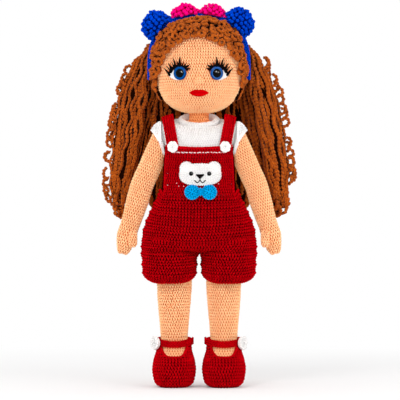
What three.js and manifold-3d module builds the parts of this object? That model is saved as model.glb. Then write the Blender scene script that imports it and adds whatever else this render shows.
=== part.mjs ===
// A crocheted standing doll in a shirt, overall shorts and strap shoes, with a curly wig and a headband.
// Millimetres, +Z up, the doll faces -Y and its left hand is on the +X side. Soft pieces are plain swelling
// forms, and the stitches are left out.
import * as THREE from "three";
import { mergeVertices } from "three/addons/utils/BufferGeometryUtils.js";
import Module from "manifold-3d";

const wasm = await Module();
wasm.setup();

// Clearances and reaches that every piece shares
const seatGap = 0.3; // between two pieces that touch
const cutReach = 400; // how far a cutting block runs past what it cuts

// Head, its skin and its stuffing
const neckLength = 6.1; // bare neck between the trunk and the chin
const headHalfHeight = 46.1;
const headHalfWidth = 43.5;
const headHalfDepth = 41.5;
const headSquareness = 2.5; // exponent of the head's side outline: 2 is round, more is boxier
const skinThickness = 2.5;
const neckHoleRadius = 6.4;

// Neck and the dowel that stiffens it
const neckRadius = 9.6;
const neckSink = 8.5; // how far the neck starts below the trunk's top
const dowelRadius = 3;
const dowelSink = 44.5; // how far it reaches down into the trunk
const dowelReach = 35.4; // and up into the head

// Trunk, from the flat seam over the legs up to the shoulders
const trunkBottom = 140.3;
const trunkLength = 126.2;
const hipHalfWidth = 51.7;
const hipHalfDepth = 36.5;
const trunkSquareness = 2.4;
// Rows of height, half width and half depth
const trunkShares = [
  [0, 0.985, 0.97],
  [0.08, 1, 1],
  [0.19, 0.925, 0.96],
  [0.3, 0.8, 0.86],
  [0.4, 0.685, 0.755],
  [0.5, 0.645, 0.705],
  [0.64, 0.61, 0.66],
  [0.76, 0.605, 0.615],
  [0.84, 0.645, 0.575],
  [0.9, 0.685, 0.52],
  [0.94, 0.675, 0.45],
  [0.97, 0.58, 0.37],
  [0.99, 0.39, 0.27],
  [1, 0.21, 0.18],
];

// Clothes, as layers over the trunk
const shirtThickness = 2;
const overallThickness = 3;
const appliqueThickness = 2.5;
const waistRise = 50.7; // the shorts' waist over the flat seam
const shirtTuck = 5; // how far the shirt reaches into the shorts
const necklineHalfWidth = 15.5;
const necklineHalfDepth = 12.5;
const necklineTilt = 0.32; // the neckline is lower in front
const necklineRollRadius = 2;

// Shorts' legs
const crotchDrop = 7.3; // below the trunk's flat seam
const shortsLegLength = 29.7;
const crotchDepthShare = 0.6; // depth of the seam between the legs, of the shorts' legs' depth
const shortsLegPlace = 28.6; // from the middle to each leg's axis
const shortsLegRadius = 28.6;
const shortsLegHalfDepth = 40;
const shortsJoinRise = 15.7; // where the legs run out into the seat
const shortsSquareness = 2.2;
// Rows of height from the hem up to the join, half width and half depth
const shortsLegShares = [
  [0, 0.915, 0.79],
  [0.12, 0.96, 0.83],
  [0.4, 1, 0.9],
  [0.7, 0.98, 0.99],
  [1, 0.8, 0.9],
];

// Legs and feet
const legPlace = 24.8;
const legTopPlace = 27.6;
const legTopRadius = 20;
const hemLegRadius = 17.3;
const ankleRadius = 13.3;
const ankleHeight = 51;
const footHalfWidth = 18;
const footFront = 38.5;
const footBack = 14.3;
const footSquareness = 2.2;
// Rows of height, half width, front reach and back reach, all of the foot
const footShares = [
  [0, 0.82, 0.86, 0.84],
  [0.06, 0.95, 0.96, 0.96],
  [0.26, 1, 1, 1],
  [0.44, 0.95, 0.9, 1],
  [0.54, 0.88, 0.72, 0.99],
  [0.66, 0.79, 0.52, 0.97],
  [0.82, 0.75, 0.39, 0.94],
];

// Shoes
const soleThickness = 3;
const insoleThickness = 1.5;
const shoeWall = 3;
const shoeRimDrop = 2; // below the ankle, as the next one
const shoeBulge = 0.8; // how much the sole's edge stands proud of the wall
const vampHeight = 30;
const vampBack = 17;
const quarterFront = 7;
const shoeStrapHeight = 7;
const shoeStrapThickness = 2.4;
const shoeStrapDrop = 6.5;
const shoeStrapBack = 6; // how far behind the ankle's middle the strap ends
const shoeButtonTurn = 0.62; // radians from straight out towards the front

// Buttons
const buttonRadius = 6;
const buttonThickness = 3.6;
const buttonPetals = 6;
const petalShare = 0.09;
const bibButtonPlace = 27;
const bibButtonDrop = 1.5; // below the bib's top

// Bib and straps
const bibHeight = 49.5;
const bibTopHalfWidth = 32.8;
const bibBottomHalfWidth = 35;
const bibDip = 4.5; // how far the top edge sags between the buttons
const strapWidth = 12;
const strapTopPlace = 31.2;
const strapSlope = 0.178; // sideways shift of the strap for each millimetre of height
const strapTopRise = 1.5; // over the trunk's top
const strapEndRise = 0.7; // over the bib's top

// Bear face and bow on the bib
const bearRise = 21.6; // over the waist
const bearHalfWidth = 20.6;
const bearHalfHeight = 12;
const bearEarRadius = 7;
const bearEarPlace = 13.4;
const bearEarRise = 5.7;
const bearEyePlace = 9;
const bearEyeRadius = 2.1;
const bearEyeRise = -1.2;
const bearNoseHalfWidth = 3.6;
const bearNoseHeight = 4;
const bearNoseRise = -1.2;
const bearMouthWidth = 11.5;
const bearMouthLine = 1.1;
const bearMouthDrop = 4.2;
const trimThickness = 1.2;
const bowDrop = 18.8; // below the bear's middle
const bowRadius = 7.4;
const bowPlace = 9;
const knotHalfWidth = 2.3;
const knotHalfHeight = 4;

// Arms, hands, thumbs and sleeves
const shoulderDrop = 16.5; // below the trunk's top
const armPlace = 34.5; // where the arm's line starts, from the middle
const armRadius = 12;
const armReachDown = 118;
const armReachOut = 42;
const armForward = 4;
const handDepthShare = 0.56; // the hand's half depth at the thumb, of the arm's radius
// Rows of distance down, distance out, half width and half depth, along the arm
const armShares = [
  [0, 0, 0.96, 0.96],
  [0.16, 0.22, 0.91, 0.91],
  [0.29, 0.376, 0.92, 0.92],
  [0.42, 0.537, 0.92, 0.92],
  [0.55, 0.642, 0.91, 0.91],
  [0.68, 0.75, 0.82, 0.82],
  [0.76, 0.825, 0.77, 0.72],
  [0.84, 0.9, 0.79, 0.6],
  [0.9, 0.935, 0.66, 0.52],
  [0.95, 0.962, 0.48, 0.4],
  [1, 1, 0.2, 0.15],
];
// Rows of rise and half width of the round top, both of the arm's radius
const armCrownShares = [
  [0.5, 0.86],
  [0.85, 0.52],
  [1, 0.2],
];
const thumbRadius = 4.1;
const thumbLength = 17.5;
const thumbPlaceOut = 32;
const thumbDrop = 93;
const thumbLean = -0.08;
const sleeveThickness = 2.5;
const sleeveHemOut = 47;
const sleeveHemRise = 6; // over the shoulder's axis, at the sleeve's outer end
const sleeveHemIn = 31;
const sleeveHemDrop = 19;
// The round socket beside the trunk that the arm's top turns against
const socketFace = 38.2;
const socketRadius = 14;
const socketNeckFace = 34.2;
const socketNeckRadius = 20;
const socketReach = 45;

// Face, with drops measured from the head's middle
const eyePlace = 18;
const eyeDrop = 5.7;
const eyeRadius = 6.25;
const pupilRadius = 4.25;
const eyeRimThickness = 1.6;
const pupilRise = 2.6;
const eyePostRadius = 2;
const eyePostLength = 9;
const washerRadius = 5.5;
const washerThickness = 2;
const washerDrop = 2.2; // the washer's seat behind the skin's inner face
const feltThickness = 0.8;
const feltHalfWidth = 12;
const feltHalfHeight = 6.4;
const lashThickness = 0.9;
const lashLength = 8.5;
const lashBase = 1.6;
const lashCount = 7;
const lipHalfWidth = 9.6;
const lipDrop = 25.7;
const upperLip = 3;
const lowerLip = 3.4;
const lipThickness = 1.2;
const noseDrop = 14.2;
const noseHalfWidth = 5;
const noseHalfHeight = 3.2;
const noseReach = 3; // how far it stands out of the face

// Wig cap, fringe, headband and pompoms, with drops and rises measured from the head's middle
const capThickness = 3;
const capFront = 6.3;
const capDrop = 32.7;
const fringeThickness = 5.7;
const fringeDrop = 21.7;
const faceHalfWidth = 42;
const faceHalfHeight = 46;
const faceDrop = 16.7;
const bandThickness = 3.2;
const bandHalfWidth = 6;
const bandDrop = 12.7;
const bluePomRadius = 15.5;
const bluePomPlace = 42.6;
const bluePomRise = 42.8;
const pinkPomRadius = 13.5;
const pinkPomPlace = 13.8;
const pinkPomRise = 50.8;

// Long hair, a curtain that is parted into locks. It leaves the cap and falls behind the shoulders
const hairTopRise = 38.3;
const hairSideRise = 23.4;
const hairLength = 185;
const hairOuterHalfWidth = 95;
const hairOuterBack = 62;
const hairInnerTipHalfWidth = 76;
const hairInnerTipBack = 43;
const hairPlaneAtCap = 7; // how far behind the head's middle the curtain's front edge lies
const hairPlaneAtArms = 26;
const hairLockShares = [0.004, 0.13, 0.27, 0.42, 0.58, 0.73, 0.87, 0.996];
// Rows of height down from the top, outer half width, outer back, front edge's way back, inner back's way
const hairShares = [
  [0, 0.46, 0.68, 0, 0],
  [0.08, 0.6, 0.83, 0, 0],
  [0.17, 0.72, 0.92, 0, 0],
  [0.25, 0.78, 0.93, 0.1, 0.02],
  [0.335, 0.845, 0.95, 0.45, -0.6],
  [0.43, 0.885, 0.95, 0.76, -2.2],
  [0.51, 0.92, 0.94, 1, -4.6],
  [0.66, 0.96, 0.94, 1, -5.2],
  [0.79, 0.99, 0.97, 1, -3],
  [0.9, 1, 1, 1, 0],
  [1, 0.98, 1, 1, 1],
];
const hairSeatGap = 0.7; // between the cap and the hair's inner face
const hairPartingWidth = 2.2; // the gap between two locks at their outer face
// Ways down from the top that every lock has a ring at
const hairRingShares = [0, 0.04, 0.081, 0.13, 0.2, 0.3, 0.43, 0.56, 0.7, 0.84, 0.94, 1];
// Rows of the way from a lock's root to its tip, width and thickness
const lockTaperShares = [
  [0, 0.7, 0.5],
  [0.07, 0.9, 0.85],
  [0.16, 0.98, 0.97],
  [0.3, 1, 1],
  [0.46, 1, 1],
  [0.62, 1, 1],
  [0.76, 0.98, 1],
  [0.88, 0.86, 0.9],
  [0.96, 0.62, 0.66],
  [1, 0.3, 0.36],
];

// Facet counts
const headFacets = 20;
const headRings = 12;
const innerFacets = 14;
const innerRings = 8;
const trunkFacets = 20;
const limbFacets = 14;
const lockFacets = 10;
const pomFacets = 12;
const pomRings = 8;
const roundFacets = 12;

const colours = {
  skin: 0xf6b285,
  stuffing: 0xf2efe8,
  wood: 0xc9a26b,
  shirt: 0xf4f2ef,
  red: 0xa8010f,
  white: 0xf6f4f2,
  board: 0xb9b1a4,
  bow: 0x02aeec,
  black: 0x101012,
  iris: 0x0a4f9c,
  lips: 0xdc0510,
  hair: 0x8f4a18,
  blue: 0x0426a8,
  pink: 0xf2058a,
  plastic: 0xe6e6e4,
};

// Heights, each worked out from the piece that carries it
const trunkTop = trunkBottom + trunkLength;
const legTop = trunkBottom - seatGap;
const crotchHeight = trunkBottom - crotchDrop;
const hemHeight = crotchHeight - shortsLegLength;
const shortsJoinHeight = trunkBottom + shortsJoinRise;
const waistHeight = trunkBottom + waistRise;
const shirtHemHeight = waistHeight - shirtTuck;
const bibTop = waistHeight + bibHeight;
const bibButtonHeight = bibTop - bibButtonDrop;
const strapFrontEnd = bibTop + strapEndRise;
const strapTopHeight = trunkTop + strapTopRise;
const bearHeight = waistHeight + bearRise;
const bowHeight = bearHeight - bowDrop;
const shoeRimHeight = ankleHeight - shoeRimDrop;
const shoeStrapMiddle = ankleHeight - shoeStrapDrop;
const shoulderHeight = trunkTop - shoulderDrop;
const sleeveHemTop = shoulderHeight + sleeveHemRise;
const sleeveHemBottom = shoulderHeight - sleeveHemDrop;
const chinHeight = trunkTop + neckLength;
const headMiddle = chinHeight + headHalfHeight;
const neckBaseHeight = trunkTop - neckSink;
const dowelBottom = trunkTop - dowelSink;
const dowelTop = chinHeight + dowelReach;
const eyeHeight = headMiddle - eyeDrop;
const noseHeight = headMiddle - noseDrop;
const lipHeight = headMiddle - lipDrop;
const capBottom = headMiddle - capDrop;
const fringeBottom = headMiddle - fringeDrop;
const faceMiddle = headMiddle - faceDrop;
const bandEnd = headMiddle - bandDrop;
const bluePomHeight = headMiddle + bluePomRise;
const pinkPomHeight = headMiddle + pinkPomRise;
const hairTop = headMiddle + hairTopRise;
const hairSideTop = headMiddle + hairSideRise;
const hairTip = hairTop - hairLength;

// Solids and their cuts

function solidOf(geometry) {
  const bare = new THREE.BufferGeometry();
  bare.setAttribute("position", geometry.getAttribute("position").clone());
  if (geometry.index) bare.setIndex(geometry.index.clone());
  const merged = mergeVertices(bare);
  const corners = [];
  const index = merged.index.array;
  for (let i = 0; i < index.length; i += 3) {
    const [a, b, c] = index.slice(i, i + 3);
    if (a !== b && b !== c && a !== c) corners.push(a, b, c);
  }
  const mesh = new wasm.Mesh({
    numProp: 3,
    vertProperties: new Float32Array(merged.attributes.position.array),
    triVerts: new Uint32Array(corners),
  });
  return new wasm.Manifold(mesh);
}

function geometryOf(solid) {
  const { vertProperties, triVerts } = solid.getMesh();
  const geometry = new THREE.BufferGeometry();
  geometry.setAttribute("position", new THREE.BufferAttribute(vertProperties, 3));
  geometry.setIndex(new THREE.BufferAttribute(triVerts, 1));
  geometry.computeVertexNormals();
  return geometry;
}

// A closed form through rings. Each ring is { centre, side, fore, square }: side and fore are its half axes.
function loft(rings, facets) {
  const places = [];
  const faces = [];
  for (const { centre, side, fore, square } of rings) {
    for (let i = 0; i < facets; i++) {
      const angle = (2 * Math.PI * i) / facets;
      const across = bulge(Math.cos(angle), square);
      const along = bulge(Math.sin(angle), square);
      const place = centre.clone().addScaledVector(side, across).addScaledVector(fore, along);
      places.push(place.x, place.y, place.z);
    }
  }
  return closeRings(places, faces, rings.length, facets, rings[0].centre, rings.at(-1).centre);
}

function closeRings(places, faces, count, facets, first, last) {
  for (let r = 0; r < count - 1; r++) {
    for (let i = 0; i < facets; i++) {
      const a = r * facets + i;
      const b = r * facets + ((i + 1) % facets);
      faces.push(a, b, b + facets, a, b + facets, a + facets);
    }
  }
  places.push(first.x, first.y, first.z, last.x, last.y, last.z);
  const firstEnd = count * facets;
  const lastEnd = firstEnd + 1;
  for (let i = 0; i < facets; i++) {
    const next = (i + 1) % facets;
    faces.push(firstEnd, next, i);
    faces.push(lastEnd, (count - 1) * facets + i, (count - 1) * facets + next);
  }
  const geometry = new THREE.BufferGeometry();
  geometry.setAttribute("position", new THREE.BufferAttribute(new Float32Array(places), 3));
  geometry.setIndex(faces);
  return geometry;
}

function bulge(value, square) {
  return Math.sign(value) * Math.abs(value) ** (2 / square);
}

function flatRing(x, y, z, halfWidth, halfDepth, square = 2) {
  return {
    centre: new THREE.Vector3(x, y, z),
    side: new THREE.Vector3(halfWidth, 0, 0),
    fore: new THREE.Vector3(0, halfDepth, 0),
    square,
  };
}

// A straight-sided block of an outline in X and Z, running from the middle plane to the front or the back
function slab(outline, forward = true) {
  const block = new THREE.ExtrudeGeometry(outline, {
    depth: cutReach,
    bevelEnabled: false,
    curveSegments: roundFacets / 2,
  });
  block.rotateX(Math.PI / 2);
  if (!forward) block.translate(0, cutReach, 0);
  return solidOf(block);
}

function block(low, high) {
  const size = new THREE.Vector3().subVectors(high, low);
  const box = new THREE.BoxGeometry(size.x, size.y, size.z);
  box.translate((low.x + high.x) / 2, (low.y + high.y) / 2, (low.z + high.z) / 2);
  return solidOf(box);
}

function above(height) {
  return block(
    new THREE.Vector3(-cutReach, -cutReach, height),
    new THREE.Vector3(cutReach, cutReach, height + 2 * cutReach),
  );
}

function behind(depth) {
  return block(
    new THREE.Vector3(-cutReach, depth, -cutReach),
    new THREE.Vector3(cutReach, cutReach, 2 * cutReach),
  );
}

function inFrontOf(depth) {
  return block(
    new THREE.Vector3(-cutReach, -cutReach, -cutReach),
    new THREE.Vector3(cutReach, depth, 2 * cutReach),
  );
}

function post(radius, bottom, top, facets = roundFacets) {
  const tall = new THREE.CylinderGeometry(radius, radius, top - bottom, facets);
  tall.rotateX(Math.PI / 2);
  tall.translate(0, 0, (top + bottom) / 2);
  return solidOf(tall);
}

function ellipseShape(x, z, halfWidth, halfHeight) {
  return new THREE.Shape().absellipse(x, z, halfWidth, halfHeight, 0, 2 * Math.PI);
}

// A value from rows of shares: the column, read at a share of the first column
function valueAt(rows, share, column) {
  const next = Math.max(1, rows.findIndex((row) => row[0] >= share));
  const [low, high] = [rows[next - 1], rows[next]];
  const way = THREE.MathUtils.clamp((share - low[0]) / (high[0] - low[0]), 0, 1);
  return THREE.MathUtils.lerp(low[column], high[column], way);
}

const parts = { torso: [], head: [], leftArm: [], rightArm: [], headband: [] };

function add(bodyName, name, solid, colour, roughness = 0.95, metalness = 0) {
  const material = new THREE.MeshStandardMaterial({ color: colour, roughness, metalness });
  const mesh = new THREE.Mesh(geometryOf(solid), material);
  mesh.name = name;
  parts[bodyName].push(mesh);
}

// The head's form, swollen by an offset all round

function headForm(offset, facets = headFacets, rings = headRings) {
  const outline = [];
  for (let i = 0; i <= rings; i++) {
    const angle = Math.PI * (i / rings - 1 / 2);
    const onAxis = i === 0 || i === rings;
    const out = onAxis ? 0 : bulge(Math.cos(angle), headSquareness);
    const up = bulge(Math.sin(angle), headSquareness);
    outline.push(new THREE.Vector2((headHalfWidth + offset) * out, (headHalfHeight + offset) * up));
  }
  const form = new THREE.LatheGeometry(outline, facets);
  form.rotateX(Math.PI / 2);
  form.scale(1, (headHalfDepth + offset) / (headHalfWidth + offset), 1);
  form.translate(0, 0, headMiddle);
  return solidOf(form);
}

function headShareAt(height, offset) {
  const rise = Math.min(1, Math.abs(height - headMiddle) / (headHalfHeight + offset));
  return (1 - rise ** headSquareness) ** (1 / headSquareness);
}

// The face's depth and the way that it faces, sideways and up from the head's middle
function faceFrame(x, height) {
  const share = headShareAt(height, 0);
  const halfWidth = headHalfWidth * share;
  const halfDepth = headHalfDepth * share;
  const y = -halfDepth * Math.sqrt(1 - (x / halfWidth) ** 2);
  const out = new THREE.Vector3(x / halfWidth ** 2, y / halfDepth ** 2, 0).normalize();
  const frame = new THREE.Matrix4().makeTranslation(x, y, height);
  const turn = new THREE.Quaternion().setFromUnitVectors(new THREE.Vector3(0, 0, 1), out);
  return frame.multiply(new THREE.Matrix4().makeRotationFromQuaternion(turn));
}

function turned(profile, frame, facets = roundFacets) {
  const geometry = new THREE.LatheGeometry(
    profile.map(([radius, height]) => new THREE.Vector2(radius, height)),
    facets,
  );
  geometry.rotateX(Math.PI / 2);
  return solidOf(geometry.applyMatrix4(frame));
}

function headLayer(inner, outer) {
  return headForm(outer).subtract(headForm(inner));
}

// Eyes with their posts and washers, on felt, with lashes over them
const feltTop = seatGap + feltThickness;
const eyeSeat = feltTop + seatGap;
const washerTop = -skinThickness - washerDrop;

function eyeProfile(grow) {
  const rimTop = eyeSeat + eyeRimThickness;
  return [
    [0, -eyePostLength - grow],
    [eyePostRadius + grow, -eyePostLength - grow],
    [eyePostRadius + grow, eyeSeat - grow],
    [eyeRadius + grow, eyeSeat - grow],
    [eyeRadius + grow, rimTop - eyeRimThickness / 4],
    [eyeRadius - eyeRimThickness / 4 + grow, rimTop + grow],
    [pupilRadius + grow, rimTop + grow],
    [pupilRadius * 0.92 + grow, rimTop + pupilRise * 0.4 + grow],
    [pupilRadius * 0.65 + grow, rimTop + pupilRise * 0.78 + grow],
    [0, rimTop + pupilRise + grow],
  ];
}

function washerProfile(grow) {
  const hole = eyePostRadius + seatGap - grow;
  return [
    [hole, washerTop - washerThickness - grow],
    [washerRadius + grow, washerTop - washerThickness - grow],
    [washerRadius + grow, washerTop + grow],
    [hole, washerTop + grow],
    [hole, washerTop - washerThickness - grow],
  ];
}

function almond(sideSign) {
  const shape = new THREE.Shape();
  const inner = sideSign * (eyePlace - feltHalfWidth / 2);
  const outer = sideSign * (eyePlace + feltHalfWidth);
  const middle = sideSign * eyePlace;
  shape.moveTo(inner, eyeHeight);
  shape.quadraticCurveTo(middle, eyeHeight + 2 * feltHalfHeight, outer, eyeHeight);
  shape.quadraticCurveTo(middle, eyeHeight - 2 * feltHalfHeight, inner, eyeHeight);
  return shape;
}

// A curved lash line over the eye with pointed lashes that fan out from it
function lashShape(sideSign) {
  const inside = eyeRadius + seatGap;
  const outside = inside + lashBase;
  const points = [];
  const startAngle = Math.PI * 0.2;
  const endAngle = Math.PI * 0.92;
  const step = (endAngle - startAngle) / lashCount;
  const place = (radius, angle) =>
    new THREE.Vector2(
      sideSign * (eyePlace - radius * Math.cos(angle)),
      eyeHeight + radius * Math.sin(angle),
    );
  for (let i = 0; i < lashCount; i++) {
    const angle = endAngle - step * i;
    points.push(place(outside, angle));
    points.push(place(outside + lashLength, angle - step / 2));
  }
  points.push(place(outside, startAngle));
  for (let i = 0; i <= 2 * lashCount; i++) {
    points.push(place(inside, startAngle + (step * i) / 2));
  }
  return new THREE.Shape(points);
}

function lipShape() {
  const shape = new THREE.Shape();
  shape.moveTo(-lipHalfWidth, lipHeight);
  shape.quadraticCurveTo(-lipHalfWidth / 3, lipHeight + 1.5 * upperLip, 0, lipHeight + upperLip * 0.7);
  shape.quadraticCurveTo(lipHalfWidth / 3, lipHeight + 1.5 * upperLip, lipHalfWidth, lipHeight);
  shape.quadraticCurveTo(0, lipHeight - 2 * lowerLip, -lipHalfWidth, lipHeight);
  return shape;
}

function addFace() {
  let skin = headForm(0).subtract(headForm(-skinThickness, innerFacets, innerRings));
  let stuffing = headForm(-skinThickness - seatGap, innerFacets, innerRings);
  skin = skin.subtract(post(neckHoleRadius, chinHeight - cutReach, headMiddle));
  stuffing = stuffing.subtract(post(dowelRadius + seatGap, chinHeight - cutReach, dowelTop + seatGap));
  for (const [name, sign] of [["left", 1], ["right", -1]]) {
    const frame = faceFrame(sign * eyePlace, eyeHeight);
    const eye = turned(eyeProfile(0), frame);
    const clearEye = turned(eyeProfile(seatGap), frame);
    const washer = turned(washerProfile(0), frame);
    const pocket = turned(
      [
        [0, -eyePostLength - 2 * seatGap],
        [washerRadius + seatGap, -eyePostLength - 2 * seatGap],
        [washerRadius + seatGap, 0],
        [0, 0],
      ],
      frame,
    );
    const postHole = turned(
      [
        [0, -cutReach / 8],
        [eyePostRadius + seatGap, -cutReach / 8],
        [eyePostRadius + seatGap, cutReach / 8],
        [0, cutReach / 8],
      ],
      frame,
    ).intersect(inFrontOf(-headHalfDepth / 2));
    skin = skin.subtract(postHole);
    stuffing = stuffing.subtract(pocket);
    const felt = headLayer(seatGap, feltTop).intersect(slab(almond(sign))).subtract(postHole);
    const lashes = headLayer(feltTop + seatGap, feltTop + seatGap + lashThickness)
      .intersect(slab(lashShape(sign)))
      .subtract(clearEye);
    add("head", `${name}_eye`, eye, colours.iris, 0.15);
    add("head", `${name}_eye_washer`, washer, colours.plastic, 0.4);
    add("head", `${name}_eye_white`, felt, colours.white);
    add("head", `${name}_eyelashes`, lashes, colours.black, 0.7);
  }
  add("head", "head_skin", skin, colours.skin);
  add("head", "head_stuffing", stuffing, colours.stuffing);
  add("head", "lips", headLayer(seatGap, seatGap + lipThickness).intersect(slab(lipShape())), colours.lips);
  const noseForm = new THREE.SphereGeometry(1, roundFacets, roundFacets / 2);
  noseForm.scale(noseHalfWidth, noseReach, noseHalfHeight);
  noseForm.translate(0, -headHalfDepth * headShareAt(noseHeight, 0), noseHeight);
  add("head", "nose", solidOf(noseForm).subtract(headForm(seatGap)), colours.skin);
}

// Wig cap, fringe and long hair

function addCapAndFringe() {
  const cap = headLayer(seatGap, seatGap + capThickness).intersect(behind(-capFront)).intersect(above(capBottom));
  add("head", "wig_cap", cap, colours.hair);
  const face = slab(ellipseShape(0, faceMiddle, faceHalfWidth, faceHalfHeight));
  const fringe = headLayer(seatGap, fringeThickness)
    .intersect(inFrontOf(-capFront - seatGap))
    .intersect(above(fringeBottom))
    .subtract(face);
  add("head", "fringe", fringe, colours.hair);
}

// The curtain's inner and outer half axes and its front edge at a height
function hairSection(height) {
  const share = (hairTop - height) / (hairTop - hairTip);
  const read = (column) => valueAt(hairShares, share, column);
  const capOut = seatGap + capThickness;
  const onCap = Math.max(height, headMiddle);
  const fall = Math.max(0, headMiddle - height) / (headMiddle - hairTip);
  const capHalfWidth = (headHalfWidth + capOut) * headShareAt(onCap, capOut) + hairSeatGap;
  const capBack = (headHalfDepth + capOut) * headShareAt(onCap, capOut) + hairSeatGap;
  const plane = THREE.MathUtils.lerp(hairPlaneAtCap, hairPlaneAtArms, read(3));
  return {
    plane,
    innerHalfWidth: capHalfWidth + fall * (hairInnerTipHalfWidth - capHalfWidth),
    outerHalfWidth: hairOuterHalfWidth * read(1),
    innerBack: capBack + read(4) * (hairInnerTipBack - capBack) - plane,
    outerBack: hairOuterBack * read(2) - plane,
  };
}

function hairLock(from, to, top) {
  const places = [];
  const ends = [];
  const heights = hairRingShares.map((share) => THREE.MathUtils.lerp(hairTop, hairTip, share));
  for (const height of heights.filter((level) => level <= top)) {
    const way = (top - height) / (top - hairTip);
    const width = valueAt(lockTaperShares, way, 1);
    const thickness = valueAt(lockTaperShares, way, 2);
    const section = hairSection(height);
    const gapAngle = hairPartingWidth / 2 / section.outerHalfWidth;
    const middle = (Math.PI * (from + to)) / 2;
    const half = ((Math.PI * (to - from)) / 2) * width - gapAngle;
    const point = (angle, out) => {
      const depth = out * thickness;
      const across = THREE.MathUtils.lerp(section.innerHalfWidth, section.outerHalfWidth, depth);
      const along = THREE.MathUtils.lerp(section.innerBack, section.outerBack, depth);
      return new THREE.Vector3(across * Math.cos(angle), section.plane + along * Math.sin(angle), height);
    };
    for (let i = 0; i < lockFacets; i++) {
      const angle = (2 * Math.PI * i) / lockFacets;
      const place = point(middle - half * bulge(Math.sin(angle), 3), (1 + bulge(Math.cos(angle), 3)) / 2);
      places.push(place.x, place.y, place.z);
    }
    ends.push(point(middle, 1 / 2));
  }
  return solidOf(closeRings(places, [], ends.length, lockFacets, ends[0], ends.at(-1)));
}

function addHair() {
  const names = [
    "left_front_hair",
    "left_side_hair",
    "left_back_hair",
    "middle_back_hair",
    "right_back_hair",
    "right_side_hair",
    "right_front_hair",
  ];
  names.forEach((name, i) => {
    const top = name.includes("front") ? hairSideTop : hairTop;
    add("head", name, hairLock(hairLockShares[i], hairLockShares[i + 1], top), colours.hair);
  });
}

// Headband and pompoms

function addHeadband() {
  const inner = seatGap + capThickness + seatGap;
  const outer = inner + bandThickness;
  const width = inFrontOf(bandHalfWidth).intersect(behind(-bandHalfWidth));
  let band = headLayer(inner, outer).intersect(width).intersect(above(headMiddle));
  for (const sign of [1, -1]) {
    const edges = [sign * (headHalfWidth + inner), sign * (headHalfWidth + outer)].sort((a, b) => a - b);
    const end = block(
      new THREE.Vector3(edges[0], -bandHalfWidth, bandEnd),
      new THREE.Vector3(edges[1], bandHalfWidth, headMiddle + bandThickness),
    ).subtract(headForm(inner));
    band = band.add(end);
  }
  add("headband", "headband", band, colours.blue);
  const seat = headForm(outer + seatGap);
  const pompoms = [
    ["left_blue_pompom", bluePomPlace, bluePomHeight, bluePomRadius, colours.blue],
    ["right_blue_pompom", -bluePomPlace, bluePomHeight, bluePomRadius, colours.blue],
    ["left_pink_pompom", pinkPomPlace, pinkPomHeight, pinkPomRadius, colours.pink],
    ["right_pink_pompom", -pinkPomPlace, pinkPomHeight, pinkPomRadius, colours.pink],
  ];
  for (const [name, x, height, radius, colour] of pompoms) {
    const ball = new THREE.SphereGeometry(radius, pomFacets, pomRings);
    ball.translate(x, 0, height);
    add("headband", name, solidOf(ball).subtract(seat), colour);
  }
}

// Trunk and neck

function trunkForm(offset, facets = trunkFacets) {
  const rings = trunkShares.map(([up, wide, deep], i) => {
    const lift = i === 0 && offset < 0 ? -offset : 0;
    const crown = up * Math.max(offset, -neckRadius / 2);
    const height = THREE.MathUtils.lerp(trunkBottom, trunkTop, up) + crown + lift;
    return flatRing(0, 0, height, hipHalfWidth * wide + offset, hipHalfDepth * deep + offset, trunkSquareness);
  });
  return solidOf(loft(rings, facets));
}

function addTrunk() {
  const neckTop = chinHeight - seatGap;
  const neck = post(neckRadius, neckBaseHeight, neckTop, innerFacets);
  const neckBore = post(neckRadius - skinThickness, neckBaseHeight - neckRadius, neckTop + neckRadius);
  const bore = post(dowelRadius + seatGap, dowelBottom - seatGap, neckTop + neckRadius);
  const skin = trunkForm(0)
    .add(neck)
    .subtract(trunkForm(-skinThickness, innerFacets))
    .subtract(neckBore);
  const stuffing = trunkForm(-skinThickness - seatGap, innerFacets)
    .add(post(neckRadius - skinThickness - seatGap, neckBaseHeight - neckRadius, neckTop))
    .subtract(bore);
  add("torso", "body_skin", skin, colours.skin);
  add("torso", "body_stuffing", stuffing, colours.stuffing);
  add("torso", "neck_dowel", post(dowelRadius, dowelBottom, dowelTop), colours.wood, 0.6);
}

// Shirt, shorts, bib and straps

const shirtOut = seatGap + shirtThickness;
const overallIn = shirtOut + seatGap;
const overallOut = overallIn + overallThickness;

function addShirt() {
  const roll = new THREE.TorusGeometry(necklineHalfWidth, necklineRollRadius, roundFacets / 2, headFacets);
  roll.scale(1, necklineHalfDepth / necklineHalfWidth, 1);
  roll.rotateX(necklineTilt);
  roll.translate(0, 0, trunkTop);
  const opening = new THREE.CylinderGeometry(
    necklineHalfWidth,
    necklineHalfWidth,
    necklineHalfWidth,
    headFacets,
  );
  opening.rotateX(Math.PI / 2);
  opening.scale(1, necklineHalfDepth / necklineHalfWidth, 1);
  opening.rotateX(necklineTilt);
  opening.translate(0, 0, trunkTop);
  const neck = post(neckRadius + seatGap, neckBaseHeight, chinHeight + neckRadius, innerFacets);
  const shirt = trunkForm(shirtOut)
    .intersect(above(shirtHemHeight))
    .subtract(solidOf(opening))
    .add(solidOf(roll))
    .subtract(trunkForm(seatGap))
    .subtract(neck)
    .subtract(headForm(seatGap));
  add("torso", "shirt", shirt, colours.shirt);
}

function shortsLeg(sign, shrink) {
  const rings = shortsLegShares.map(([up, wide, deep], i) => {
    const drop = i === 0 ? shrink : 0;
    const height = THREE.MathUtils.lerp(hemHeight, shortsJoinHeight, up) - drop;
    const halfWidth = shortsLegRadius * wide - shrink;
    const halfDepth = shortsLegHalfDepth * deep - shrink;
    return flatRing(sign * shortsLegPlace, 0, height, halfWidth, halfDepth, shortsSquareness);
  });
  return solidOf(loft(rings, trunkFacets));
}

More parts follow.
